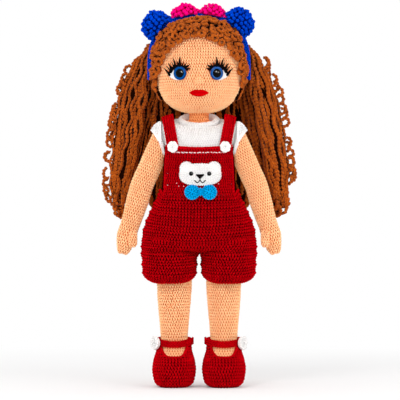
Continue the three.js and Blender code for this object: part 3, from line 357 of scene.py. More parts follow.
def head_share(z, off):
    """How wide the head is at a height, as a share of its most."""
    rise = np.minimum(1, np.abs(z - HEAD_MID) / (HEAD_H + off))
    return (1 - rise**HEAD_Q) ** (1 / HEAD_Q)


def head_top(x, y, off, most=1.0):
    """The height of the head over a place seen from above."""
    rho = np.minimum(most, np.hypot(x / (HEAD_W + off), y / (HEAD_D + off)))
    return HEAD_MID + (HEAD_H + off) * (1 - rho**HEAD_Q) ** (1 / HEAD_Q)


def head_size(p, off):
    """How far a point lies from the head's middle, where 1 is the surface."""
    v = p - HEAD_CENTRE
    rho = np.hypot(v[..., 0] / (HEAD_W + off), v[..., 1] / (HEAD_D + off))
    return (rho**HEAD_Q + np.abs(v[..., 2] / (HEAD_H + off)) ** HEAD_Q) ** (1 / HEAD_Q)


def from_head_centre(p, size):
    """Points drawn in to their line's share from the head's middle."""
    return HEAD_CENTRE + (p - HEAD_CENTRE) * size


def face(x, z, off):
    """A point of the face by its place seen from the front, off its surface."""
    share = head_share(z, off)
    y = -(HEAD_D + off) * np.sqrt(np.maximum(0, share**2 - (x / (HEAD_W + off)) ** 2))
    return np.stack(np.broadcast_arrays(x, y, z), -1)


def trunk_form(off):
    return rings_form([
        flat_ring(0, 0, TRUNK_LOW + (TRUNK_TOP - TRUNK_LOW) * up + up * off, HIP_W * w + off, HIP_D * d + off, TRUNK_Q)
        for up, w, d in TRUNK
    ])


def trunk_tables(off):
    """Heights of the trunk, and how wide and how deep it is at each."""
    t = np.linspace(0, len(TRUNK) - 1, 600)
    up, w, d = (cubic([row[k] for row in TRUNK], t) for k in range(3))
    return TRUNK_LOW + (TRUNK_TOP - TRUNK_LOW) * up + up * off, HIP_W * w + off, HIP_D * d + off


def on_trunk(x, z, off, back=False):
    height, w, d = trunk_tables(off)
    wide, deep = np.interp(z, height, w), np.interp(z, height, d)
    share = np.maximum(0, 1 - np.minimum(1, np.abs(x) / wide) ** TRUNK_Q) ** (1 / TRUNK_Q)
    y = deep * share * (1 if back else -1)
    return np.stack(np.broadcast_arrays(x, y, z), -1)


def frames(form, s, a, off=0.0):
    """Point, way round, way up and way out of a form."""
    e = 1e-3
    point = form(s, a)
    side = form(s, a + e) - form(s, a - e)
    up = form(np.minimum(s + e, 1), a) - form(np.maximum(s - e, 0), a)
    out = unit(np.cross(side, up))
    side = unit(side)
    return point + out * off, side, np.cross(out, side), out


def clear_of_ends(s):
    return np.clip(s, 2e-3, 1 - 2e-3)


def shell(piece, form, off, lo=0.0, hi=1.0, steps=60, around=64, fix=None, ends=True):
    """The cloth under the stitches, in the darker second material that is painted shade in the gaps: a closed skin over
    a form.
    """
    s, a = np.meshgrid(np.linspace(lo, hi, steps), round_angles(around), indexing="ij")
    point = frames(form, clear_of_ends(s), a, off)[0]
    closed_grid(piece, fix(point) if fix else point, ends=ends)


def crochet(piece, form, gauge, off=-0.4, lo=0.0, hi=1.0, keep=None, mat=0, lean=0.3, ridge=0.0, jitter=1.0,
            fix=None, **shape):
    """Rows of stitches round a form."""
    row, width, thick = gauge
    s = np.linspace(lo, hi, 241)
    length = arc_length(form(s[:, None], round_angles(16)[None]))
    count = max(1, round(length[-1] / row))
    edges = np.interp(np.arange(count + 1) / count * length[-1], length, s)
    found = []
    loop_a = np.linspace(0, TAU, 241)
    for k in range(count):
        middle = (edges[k] + edges[k + 1]) / 2
        arc = arc_length(form(np.full_like(loop_a, middle), loop_a))
        number = max(4, round(arc[-1] / width))
        a = np.interp((np.arange(number) + lean * k % 1) / number * arc[-1], arc, loop_a)
        place = frames(form, np.full_like(a, middle), a, off + ridge * math.cos(TAU * k / RIDGE_ROWS))
        high = np.linalg.norm(form(np.full_like(a, edges[k + 1]), a) - form(np.full_like(a, edges[k]), a), axis=-1)
        found.append((*place, np.full_like(a, arc[-1] / number), high))
    found = [np.concatenate(column) for column in zip(*found)]
    if keep:
        use = keep(found[0])
        found = [column[use] for column in found]
    if fix:
        found[0] = fix(found[0])
    lay(piece, vee(thick, **CLOTH | shape), found[:4], found[4], found[5], width, jitter=jitter, mat=mat)


def chain(piece, path, normal, pitch, width, thick, mat=0, depth=None, tile=None, twist=None):
    """A chain of stitches along a path. The normal is one vector, one for each point, or None."""
    at, way = resample(path, pitch)
    tangent, out = transport(at)
    if normal is not None:
        normal = np.broadcast_to(normal, np.shape(path))
        out = read_at(way, np.linspace(0, 1, len(normal)), normal)
        out = unit(out - tangent * (out * tangent).sum(1, keepdims=True))
    side = np.cross(tangent, out)
    if twist is not None:
        side, out = turned(side, out, twist(way))
    step = np.linalg.norm(np.diff(at, axis=0), axis=1).mean()
    stamp(piece, tile or vee(thick), at, side, tangent, out, width, step, depth or width, mat)


def rope(piece, path, radius, pitch):
    """A cord of two plies wound round each other along a path."""
    step, sides = 0.85, 5
    at, _ = resample(path, step)
    tangent, normal = transport(at)
    across = np.cross(tangent, normal)
    length = np.arange(len(at)) * step
    thick = np.full(len(at), radius * 0.6)
    thick[[0, -1]] *= 0.55
    for ply in (0, 1):
        t = TAU * length / pitch + math.pi * ply
        middle = at + (normal * np.cos(t)[:, None] + across * np.sin(t)[:, None]) * radius * 0.46
        verts, quads, tris, uv = skin_of(middle, thick, sides, tangent, normal, length)
        piece.add(verts, quads, tris, 0, uv)


# Yarn and other materials

class Tree:
    """The shader nodes of a material or the world."""

    def __init__(self, owner):
        owner.use_nodes = True
        self.nodes, self.links = owner.node_tree.nodes, owner.node_tree.links

    def set(self, node, inputs):
        """Gives inputs, by name or number, a value or a link."""
        for key, value in inputs.items():
            if isinstance(value, bpy.types.NodeSocket):
                self.links.new(value, node.inputs[key])
            else:
                node.inputs[key].default_value = value

    def add(self, kind, inputs=None, **settings):
        node = self.nodes.new("ShaderNode" + kind)
        for key, value in settings.items():
            setattr(node, key, value)
        self.set(node, inputs or {})
        return node

    def math(self, operation, *values, clamp=False):
        return self.add("Math", dict(enumerate(values)), operation=operation, use_clamp=clamp).outputs[0]

    def mix(self, factor, first, second):
        return self.add("Mix", {0: factor, 6: first, 7: second}, data_type="RGBA").outputs[2]

    def place(self):
        return self.add("TexCoord").outputs["Object"]

    def noise(self, place, scale, detail, roughness=0.5):
        inputs = {"Scale": scale, "Detail": detail, "Roughness": roughness, "Vector": place}
        return self.add("TexNoise", inputs).outputs["Fac"]

    def relief(self, height, strength, distance):
        inputs = {"Strength": strength, "Distance": distance * METRE, "Height": height}
        return self.add("Bump", inputs).outputs[0]


def linear(colour):
    return [c / 12.92 if c <= 0.04045 else ((c + 0.055) / 1.055) ** 2.4 for c in (v / 255 for v in colour)] + [1]


PLY_TURNS = 1.6  # of the plies in one unit of a strand's length
PLY_SHADE, PATCH_SHADE, FIBRE_SHADE, MEAN_SHADE = 0.14, 1.3, 1.1, 0.42  # how far each goes to the deeper colour
PATCH_SCALE, FIBRE_SCALE = 160.0, 2600.0  # noise cells in a metre
CREASE_SHADE_GAIN, CREASE_SHADE_START = -2.0, 1.25  # from how open a place is, by ambient occlusion, to how much painted shade its crease gets


def yarn(name, colour, deep, sheen=0.0, reach=2.2, crease=0.3, depth=0.75, crease_shade_colour=None, painted_glow=0.0, fibre=0.12):
    """Wool or cotton yarn: plies that wind round it, loose fibres, patches of another tone, painted shade in its
    creases and an optional painted glow.
    """
    mat = bpy.data.materials.new(name)
    tree = Tree(mat)
    light, dark = linear(colour), linear(deep)
    place = tree.place()
    split = tree.add("SeparateXYZ", {0: tree.add("UVMap", uv_map="yarn").outputs["UV"]}).outputs
    wound = tree.math("ADD", split["X"], tree.math("MULTIPLY", split["Y"], PLY_TURNS))
    plies = tree.math("SINE", tree.math("MULTIPLY", wound, 2 * TAU))
    patches, fibres = tree.noise(place, PATCH_SCALE, 3.0), tree.noise(place, FIBRE_SCALE, 2.0, 0.6)
    amount = tree.math("MULTIPLY_ADD", plies, PLY_SHADE, MEAN_SHADE)
    for noise, size in ((patches, PATCH_SHADE), (fibres, FIBRE_SHADE)):
        amount = tree.math("ADD", amount, tree.math("MULTIPLY", tree.math("SUBTRACT", noise, 0.5), size))
    # painted shade: ambient occlusion within reach darkens the creases towards a darker colour, as far as depth says
    hollow = tree.add("AmbientOcclusion", {"Distance": reach * METRE}, samples=6).outputs["AO"]
    inward = tree.math("MULTIPLY_ADD", hollow, CREASE_SHADE_GAIN, CREASE_SHADE_START, clamp=True)
    most = max(dark[:3])
    below = linear(crease_shade_colour) if crease_shade_colour else [c * crease * (0.4 + 0.6 * c / most) for c in dark[:3]] + [1]
    shade = tree.mix(tree.math("MULTIPLY", inward, depth), tree.mix(amount, light, dark), below)
    height = tree.math("ADD", tree.math("MULTIPLY", plies, 0.35), fibres)
    tree.set(tree.nodes["Principled BSDF"], {
        "Base Color": shade, "Normal": tree.relief(height, 0.5, fibre),
        "Roughness": 0.9, "Specular IOR Level": 0.0, "Sheen Weight": sheen, "Sheen Roughness": 0.5,
    # painted glow: the yarn's colour given off as emission, which lifts its shade
    } | ({"Emission Color": shade, "Emission Strength": painted_glow} if painted_glow else {}))
    return mat


def hard(name, colour, second, rough, scale=400.0, bump=0.05, specular=0.5):
    """Plastic, wood or board, with a faint uneven surface."""
    mat = bpy.data.materials.new(name)
    tree = Tree(mat)
    uneven = tree.noise(tree.place(), scale, 4.0)
    tree.set(tree.nodes["Principled BSDF"], {
        "Base Color": tree.mix(uneven, linear(colour), linear(second)), "Normal": tree.relief(uneven, bump, 0.05),
        "Roughness": rough, "Specular IOR Level": specular,
    })
    return mat


# Every yarn gets painted crease shade from yarn(). Skin yarn: its painted crease shade is a deep orange at full depth,
# with a painted glow.
SKIN = yarn("skin_yarn", (254, 212, 160), (252, 186, 130), 0.06, crease_shade_colour=(250, 104, 38), depth=1.0, painted_glow=0.12)
# painted shade: a darker copy of the skin yarn for the neck, where the head's shadow falls, with wide crease shade and
# a painted glow
SKIN_SHADED = yarn(
    "skin_yarn_neck_painted_shade", (255, 192, 128), (252, 168, 100), 0.06, 13, crease_shade_colour=(236, 88, 28), crease=0.1, painted_glow=0.06,
)
# painted shade: the skin's under-cloth, a darker orange that shows in the stitches' gaps, with a painted glow
SKIN_UNDER_SHADE = yarn("skin_yarn_painted_under_shade", (244, 134, 66), (226, 104, 44), painted_glow=0.1)
RED = yarn("red_yarn", (212, 0, 15), (164, 0, 9), crease=0.16, depth=0.9)
# painted shade: the red under-cloth, near black in the gaps
RED_UNDER_SHADE = yarn("red_yarn_painted_under_shade", (64, 0, 4), (36, 0, 2))
# white yarn: a painted glow lifts its shade, with light painted crease shade
WHITE = yarn("white_yarn", (244, 243, 242), (234, 232, 231), 0.15, crease=0.6, depth=0.25, painted_glow=0.1)
WHITE_CLEAR = yarn("white_button_yarn", (246, 245, 243), (232, 230, 228), 0.1, 1.6, 0.45, 0.8)
# painted shade: the white under-cloth, a little darker in the gaps, with a painted glow
WHITE_UNDER_SHADE = yarn("white_yarn_painted_under_shade", (236, 232, 231), (216, 211, 210), crease=0.6, depth=0.2, painted_glow=0.1)
# painted shade: wide ambient occlusion darkens the hair yarn almost to black where strands crowd
HAIR_LIGHT = yarn("hair_yarn", (198, 98, 28), (138, 58, 10), 0.08, 6, 0.08, 0.97)
# painted shade: the hair's under-cloth and the locks' cores, near black, the shadow between strands and curls
HAIR_UNDER_SHADE = yarn("hair_yarn_painted_under_shade", (36, 12, 4), (18, 6, 2))
# painted shade: the fringe's ringlets darken almost to black where they crowd
FRINGE = yarn("fringe_yarn", (196, 98, 28), (140, 60, 12), 0.08, 6, 0.06, 0.97)
BLUE = yarn("blue_yarn", (0, 74, 216), (0, 50, 172), reach=3.0, crease=0.4)
# painted shade: the blue under-cloth, dark in the gaps and inside the pompoms
BLUE_UNDER_SHADE = yarn("blue_yarn_painted_under_shade", (0, 24, 110), (0, 16, 84))
PINK = yarn("pink_yarn", (255, 12, 142), (246, 0, 116), reach=2.4, crease=0.6)
# painted shade: the pink under-cloth, darker in the gaps and inside the pompoms
PINK_UNDER_SHADE = yarn("pink_yarn_painted_under_shade", (214, 0, 98), (186, 0, 80))
SKY = yarn("sky_blue_yarn", (0, 186, 248), (0, 152, 224))
# painted shade: the sky blue under-cloth, darker in the gaps
SKY_UNDER_SHADE = yarn("sky_blue_yarn_painted_under_shade", (0, 104, 170), (0, 80, 136))
BLACK = yarn("black_thread", (20, 15, 15), (8, 6, 6))
LIPS = yarn("lip_felt", (212, 0, 8), (168, 0, 6), fibre=0.08)
FELT = yarn("white_felt", (246, 243, 243), (230, 225, 226), 0.1, fibre=0.06)
GLOSS = hard("black_dome", (5, 5, 6), (3, 3, 4), 0.05, specular=0.06)
IRIS = hard("iris_plastic", (0, 80, 152), (0, 68, 138), 0.3, 900, specular=0.03)
IRIS_EDGE = hard("iris_edge", (0, 52, 122), (0, 42, 104), 0.3, specular=0.03)
YARNS = {  # the materials of each slot: the stitches' own, then the cloth's under them, darker as painted shade in the gaps
    "skin_yarn": [SKIN, SKIN_UNDER_SHADE], "red_yarn": [RED, RED_UNDER_SHADE], "shirt_yarn": [WHITE, WHITE_UNDER_SHADE],
    "white_yarn": [WHITE, WHITE_UNDER_SHADE], "hair_yarn": [HAIR_LIGHT, HAIR_UNDER_SHADE], "blue_yarn": [BLUE, BLUE_UNDER_SHADE],
    "pink_yarn": [PINK, PINK_UNDER_SHADE], "sky_blue_yarn": [SKY, SKY_UNDER_SHADE], "black_thread": [BLACK], "red_felt": [LIPS],
    "white_felt": [FELT], "black_bead": [GLOSS], "eye_plastic": [IRIS, IRIS_EDGE, GLOSS],
}


# More tools: trimmed skins, panels on the trunk or the face, discs and turned forms

def sheet(piece, front, back, wrap=False, mat=1):
    """Two grids of points joined all round into one closed slab. The front's rows run up, its columns to the right."""
    rows, cols = front.shape[:2]
    start, top = rows * cols, (rows - 1) * cols
    j = np.arange(cols if wrap else cols - 1)
    k = (j + 1) % cols
    edges = [(k, j), (top + j, top + k)]
    if not wrap:
        i = np.arange(rows - 1) * cols
        edges += [(i, i + cols), (i + 2 * cols - 1, i + cols - 1)]
    quads = grid_quads(rows, cols, wrap)
    rims = [np.stack([a, b, start + b, start + a], -1) for a, b in edges]
    verts = np.concatenate([front.reshape(-1, 3), back.reshape(-1, 3)])
    piece.add(verts, np.concatenate([quads, start + quads[:, ::-1], *rims]), None, mat)


def trimmed(piece, form, outer, inner, low, high, steps=40, around=72, fix=None):
    """A wall of cloth over a form with both edges closed, in the darker second material that is painted shade in the
    gaps. An edge is a height, or a function of the angle.
    """
    a = round_angles(around)
    lo, hi = (edge(a) if callable(edge) else np.full_like(a, edge) for edge in (low, high))
    s = clear_of_ends(lo + (hi - lo) * np.linspace(0, 1, steps)[:, None])
    walls = [frames(form, s, np.broadcast_to(a, s.shape), off)[0] for off in (outer, inner)]
    sheet(piece, *(fix(wall) if fix else wall for wall in walls), wrap=True)


def layer(surface, x, z, off):
    """Points of a surface by their place seen from the front, each off it by its own distance."""
    if np.ndim(off) == 0:
        return surface(x, z, off)
    low, high = surface(x, z, 0.0), surface(x, z, 10.0)
    return low + (high - low) * (off / 10)[..., None]


def slopes(surface, x, z):
    """How a surface runs along X and along Z, and its way out."""
    e = 0.05
    dx = surface(x + e, z, 0.0) - surface(x - e, z, 0.0)
    dz = surface(x, z + e, 0.0) - surface(x, z - e, 0.0)
    return dx, dz, unit(np.cross(dx, dz))


def patch_frames(surface, x, z, off, way=(0, 1)):
    """Frames of stitches on a surface seen from the front; way is each one's own up, in X and Z."""
    point = layer(surface, x, z, off)
    dx, dz, out = slopes(surface, x, z)
    way = np.broadcast_to(way, (len(point), 2))
    up = unit(dx * way[:, :1] + dz * way[:, 1:])
    return point, np.cross(up, out), up, out


def surface_frame(surface, x, z):
    return [v[0] for v in patch_frames(surface, np.array([float(x)]), np.array([float(z)]), 0.0)]


def upright(point, out):
    """A frame that faces out, its second way as near to up as can be."""
    up = unit(UP - out * out[2])
    return point, np.cross(up, out), up, out


def patch(piece, x, z, off, way, width, height, thick, spread=0.36, reach=0.58):
    """Stitches on the trunk, by their places seen from the front."""
    lay(piece, vee(thick, spread, reach), patch_frames(on_trunk, x, z, off, way), width, height, width, 0.06)


def edge_chain(piece, x, z, off, pitch=2.6, width=2.6, mat=0):
    """A chain of stitches along a line on the trunk."""
    point, _, _, out = patch_frames(on_trunk, x, z, off)
    chain(piece, point, out, pitch, width, 0.27, mat)


def thread(piece, surface, x, z, off, rise, thick, sides=7, plied=True):
    """A thread along a line on a surface."""
    point, _, _, out = patch_frames(surface, x, z, off)
    strand(piece, point + out * np.broadcast_to(rise, len(x))[:, None], thick, sides, plied)


def slab_on(piece, surface, outline, inner, outer, mat, rows, cols, crown=0.0):
    """A panel between two curves of an outline: outline(u, v) gives X and Z for u to the right and v up."""
    u, v = np.meshgrid(np.linspace(0, 1, cols), np.linspace(0, 1, rows))
    x, z = outline(u, v)
    rise = crown * (1 - (2 * u - 1) ** 2) ** 0.5 * (1 - (2 * v - 1) ** 2) ** 0.5
    base, out = surface(x, z, 0.0), slopes(surface, x, z)[2]
    sheet(piece, base + out * (outer + rise)[..., None], base + out * inner, mat=mat)


def disc(piece, x0, z0, a, b, outer=PATCH_OUT, gauge=PATCH_GAUGE, crown=0.6, q=2.0):
    """A round or oval piece on the bib, worked in rings, with a rounded rim."""
    row, width, thick = gauge
    around = 40
    profile = [(0.02, 0), (1.0, 0.0), (0.98, 0.45), (0.9, 0.8), (0.75, 0.95), (0.45, 1.0), (0.02, 1.0)]
    turn = round_angles(around)
    c, n = bulge(np.cos(turn), q), bulge(np.sin(turn), q)
    grid = np.array([
        layer(on_trunk, x0 + (a - 0.5) * r * c, z0 + (b - 0.5) * r * n,
              np.full(around, PATCH_IN + (outer - 0.9 - PATCH_IN + crown * (1 - r * r)) * h))
        for r, h in profile
    ])
    piece.add(grid, grid_quads(*grid.shape[:2]), None, 1)
    dense = np.linspace(0, TAU, 181)
    ring = 0
    while b - row * (ring + 0.5) > 0.1 * row:
        ra, rb = a - row * (ring + 0.5), b - row * (ring + 0.5)
        arc = arc_length(np.stack([ra * bulge(np.cos(dense), q), rb * bulge(np.sin(dense), q)], 1))
        number = max(3, round(arc[-1] / width))
        t = np.interp((np.arange(number) + 0.35 * ring % 1) / number * arc[-1], arc, dense)
        x, z = x0 + ra * bulge(np.cos(t), q), z0 + rb * bulge(np.sin(t), q)
        way = unit(np.stack([np.cos(t) / ra, np.sin(t) / rb], 1))
        lift = np.full(number, outer - 0.35 + crown * (1 - (rb / b) ** 2) - 0.5 * (ring == 0))
        patch(piece, x, z, lift, way, arc[-1] / number, row, thick)
        ring += 1


def lathe(piece, profile, frame_at, around, mats=0):
    """A turned form on a frame. mats gives each step of the profile its material, or one for all."""
    profile = np.asarray(profile, float)
    origin, e1, e2, out = frame_at
    turn = round_angles(around)
    spoke = np.cos(turn)[:, None] * e1 + np.sin(turn)[:, None] * e2
    grid = origin + np.maximum(profile[:, 0], 1e-3)[:, None, None] * spoke[None] + profile[:, 1, None, None] * out
    mats = np.repeat(np.broadcast_to(mats, len(profile) - 1), around)
    piece.add(grid, grid_quads(*grid.shape[:2]), None, mats)


def top_where(form, test, lo=0.0, around=72, smooth=2):
    """For each angle, how far up a form runs until the test of its point holds, smoothed round."""
    angles = round_angles(around)
    s = np.linspace(lo, 1, 161)
    hit = test(form(s[:, None], angles[None]))
    found = np.where(hit.any(0), s[hit.argmax(0)], 1.0)
    for _ in range(smooth):
        found = (np.roll(found, 1) + found * 2 + np.roll(found, -1)) / 4
    return lambda a: np.interp(a % TAU, np.append(angles, TAU), np.append(found, found[0]))


def ball_form(x, y, z, w, d, h, limit, count):
    return rings_form([
        flat_ring(x, y, z + h * math.sin(v), w * math.cos(v), d * math.cos(v), 2)
        for v in np.linspace(-limit, limit, count)
    ])


def dome(radius, height, base, count, start=0.0):
    return [(radius * math.cos(t), base + height * math.sin(t)) for t in np.linspace(start, math.pi / 2, count)]


# Head: skin, nose, lips, eyes and lashes

EYE_X, EYE_Z = {1: 16.7, -1: -17.9}, 311.2
LASHES = [  # X and Z of each lash's root and tip from the eye's middle, and its half thickness
    (-10.8, -0.6, -15.0, 5.6, 1.15), (-9.3, 2.0, -13.0, 8.0, 0.8), (-8.4, 3.6, -10.8, 10.2, 1.25),
    (-6.0, 5.2, -7.9, 11.4, 0.75), (-4.9, 6.4, -6.5, 14.9, 1.15), (-2.2, 7.4, -2.7, 11.8, 0.8),
    (-0.2, 7.9, 0.5, 16.0, 1.35), (2.4, 7.6, 3.6, 11.6, 0.7), (4.2, 6.8, 6.1, 10.0, 0.7),
    (5.2, 6.0, 9.5, 8.3, 1.1), (6.8, 3.9, 10.2, 4.9, 1.0),
]
EYE_RING = [(0.01, 1.3), (6.5, 1.3), (6.75, 1.7), (6.75, 2.6), (6.55, 3.0), (6.1, 3.2), (5.1, 3.2), (4.35, 2.8)]
EYE_POST = [(0.01, -8.6), (1.9, -8.4), (2, -8), (2, 1.4), (0.01, 1.4)]


def head_pieces():
    skin = Piece()
    form = head_form(0)
    shell(skin, form, UNDER, steps=90, around=96)
    crochet(skin, form, HEAD_GAUGE, lo=0.03, hi=0.985, keep=lambda p: (p[:, 1] < 3) | (p[:, 2] < 290))
    skin.make("head_crochet", "head", "skin_yarn", ["head_skin"])

    nose = Piece()
    nose_z = 303.6
    nose_y = face(0.0, nose_z, 0.0)[1]
    bump = ball_form(0.5, nose_y, nose_z, 5, 3, 3.2, 1.45, 9)
    shell(nose, bump, -0.5, steps=14, around=20)
    crochet(nose, bump, NOSE_GAUGE, off=-0.1, keep=lambda p: p[:, 1] < nose_y - 0.3)
    nose.make("nose_crochet", "head", "skin_yarn", ["nose"])

    lips = Piece()
    lip_half, lip_z = 9.7, 292.2

    def upper_lip(u, v):
        x = lip_half * (2 * u - 1)
        dip = 0.75 * np.exp(-((x / 1.9) ** 2))
        return x, lip_z - 0.1 + (3.3 * (1 - (2 * u - 1) ** 2) ** 0.9 - dip) * v

    def lower_lip(u, v):
        return lip_half * (2 * u - 1), lip_z + 0.1 - 3.7 * (1 - (2 * u - 1) ** 2) * (1 - v)

    for outline, crown in ((upper_lip, 0.9), (lower_lip, 1.3)):
        slab_on(lips, face, outline, 0.25, 0.8, 0, 14, 30, crown)
    lips.make("lips_felt", "head", "red_felt", ["lips"])

    for name, sign in SIDES.items():
        x0 = EYE_X[sign]
        eye = Piece()
        point, _, _, out = surface_frame(face, x0, EYE_Z)
        level = upright(point, unit(out * [1, 1, 0]))
        lathe(eye, EYE_RING + dome(4.25, 2.65, 2.95, 9, 0.05), level, 40, [1] * 5 + [0] * 2 + [2] * 9)
        lathe(eye, EYE_POST, level, 16, 1)
        eye.make(f"{name}_safety_eye", "head", "eye_plastic", [f"{name}_eye"])

        def almond(u, v):
            t = u if sign > 0 else 1 - u
            return x0 + sign * bent(t, -6, 0.5, 11.8), EYE_Z + 2 * t * (1 - t) * 12.4 * (2 * v - 1) - 2.0 * t * t

        felt = Piece()
        slab_on(felt, face, almond, 0.3, 1.1, 0, 12, 30, 0.15)
        felt.make(f"{name}_felt_white", "head", "white_felt", [f"{name}_eye_white"])

        lashes = Piece()
        t = np.linspace(-0.25, 1, 9)
        grown = np.clip(t, 0, 1)
        for root_x, root_z, tip_x, tip_z, wide in LASHES:
            pull_x = (root_x + tip_x) / 2 - 0.12 * (tip_z - root_z) * np.sign(tip_x + 0.1)
            pull_z = (root_z + tip_z) / 2 - 0.1 * abs(tip_x - root_x)
            x, z = x0 - sign * bent(t, root_x, pull_x, tip_x), EYE_Z + bent(t, root_z, pull_z, tip_z)
            thread(lashes, face, x, z, 0.0, 1.5 + 1.5 * grown**1.5, 1.25 * wide * (1 - 0.88 * grown**1.3), 7, False)
        turn = np.linspace(math.radians(12), math.radians(186), 40)
        reach = np.interp(turn, [0.2, 1.2, 2.2, 2.9, 3.25], [6.9, 7.1, 8.0, 9.6, 11.4])
        thick = np.interp(turn, [0.2, 0.6, 1.4, 2.4, 3.0, 3.25], [0.3, 0.9, 1.25, 1.35, 0.9, 0.25])
        x, z = x0 - sign * reach * np.cos(turn), EYE_Z + reach * np.sin(turn)
        thread(lashes, face, x, z, 0.0, 1.7, thick, 8, False)
        lashes.make(f"{name}_lashes", "head", "black_thread", [f"{name}_eyelashes"])


# Hair: cap, long curls and fringe

CAP_OUT, CAP_EDGE = 3.3, -6.3  # how far the cap's stitches lie off the head, and where they end in front
HAIRLINE_W, HAIRLINE_H, HAIRLINE_Z = 41.3, 45.2, 302  # the oval round the face


def hair_section(z):
    """At a height: the plane the locks fan from, and how wide and deep they are inside and outside."""
    share = (HAIR_TOP - z) / (HAIR_TOP - HAIR_TIP)
    fall = np.maximum(0, HEAD_MID - z) / (HEAD_MID - HAIR_TIP)
    cap_share = head_share(np.maximum(z, HEAD_MID), CAP_OUT)
    cap_w, cap_d = (HEAD_W + CAP_OUT) * cap_share + 0.7, (HEAD_D + CAP_OUT) * cap_share + 0.7
    plane = 7 + 19 * look_up(HAIR, share, 3)
    return (
        plane,
        cap_w + fall * (HAIR_IN_W - cap_w),
        HAIR_OUT_W * look_up(HAIR, share, 1),
        cap_d + look_up(HAIR, share, 4) * (HAIR_IN_D - cap_d) - plane,
        HAIR_OUT_D * look_up(HAIR, share, 2) - plane,
    )


def lock_point(lock, z, top, across, depth, inset):
    """A point of a lock: across from -1, its front-left edge, to 1; depth from 0, inside, to 1."""
    way = (top - z) / (top - HAIR_TIP)
    wide, thick = look_up(LOCK_TAPER, way, 1), look_up(LOCK_TAPER, way, 2)
    plane, in_w, out_w, in_d, out_d = hair_section(z)
    middle = math.pi * (LOCKS[lock] + LOCKS[lock + 1]) / 2
    half = math.pi * (LOCKS[lock + 1] - LOCKS[lock]) / 2 * wide - (1.1 + inset) / out_w
    lo = inset / np.maximum((out_w - in_w) * thick, 1)
    d = (lo + (1 - 2 * lo) * depth) * thick
    angle = middle + half * across
    return np.stack([
        (in_w + (out_w - in_w) * d) * np.cos(angle), plane + (in_d + (out_d - in_d) * d) * np.sin(angle), z + 0 * d,
    ], -1)


def wavy(path, size, period, phase):
    """The path with soft waves, across both ways, that fade in from its root."""
    length = arc_length(path)
    tangent, normal = transport(path)
    fade = np.clip(length / 25, 0, 1) * size
    a, b = TAU * length / period + phase, TAU * length / (period * 0.83) + 1.7 * phase
    return path + normal * (fade * np.sin(a))[:, None] + np.cross(tangent, normal) * (fade * np.cos(b))[:, None]


def crown_path(target):
    """From the crown, behind the headband, down over the cap to a point of the curtain."""
    start = np.array([target[0] * 0.12, 9.5 + abs(target[0]) * 0.02 + max(0, target[1]) * 0.12])
    x, y = (start + (target[:2] - start) * np.linspace(0, 1, 16)[:-1, None]).T
    return np.stack([x, y, np.maximum(head_top(x, y, 5.2, 0.995), target[2])], 1)


def hook(path):
    """A strand's end that turns back up in an open loop."""
    end = path[-1]
    radial = unit(np.array([end[0], end[1] - 10, 0.0]))
    lean = unit(np.cross(UP, radial)) * rng.choice([-1, 1]) * rng.uniform(0.4, 1) + radial * rng.uniform(-0.2, 0.7)
    size = rng.uniform(2.8, 4.2)
    t = np.linspace(0.15, 1.35, 14)[:, None] * math.pi
    return end + unit(lean) * size * (1 - np.cos(t)) - UP * size * 1.15 * np.sin(t)


def open_loops(piece, lock, top, front):
    """Short loops of yarn that stand out of a lock's outer face."""
    for _ in range(24 if front else 9):
        z = rng.uniform(HAIR_TIP + 14, top - 16)
        across = rng.uniform(-0.95, 0.95)
        if front and rng.random() < 0.8:
            across = -0.8 if lock == 0 else 0.8
        centre = lock_point(lock, z, top, across, 1.0, -0.4)
        out = unit(np.array([centre[0], (centre[1] - 10) * 1.2, 0.0]))
        if abs(centre[0]) > 45:
            out = unit(np.array([np.sign(centre[0]), 0.15, 0.0]))
        tall, reach, lean = rng.uniform(4.4, 5.8), rng.uniform(3.0, 5.4), rng.uniform(-1.5, 1.5)
        t = np.linspace(-0.62, 0.62, 15)[:, None] * math.pi
        rise = UP * tall + np.cross(out, UP) * lean
        rope(piece, centre + out * (reach * (np.cos(t) - 0.3)) + rise * np.sin(t), 1.9, 6.8)


STRAND_LAYERS = ((1.7, 11), (5.8, 8))  # how deep each layer of strands lies in a lock, and how many it has


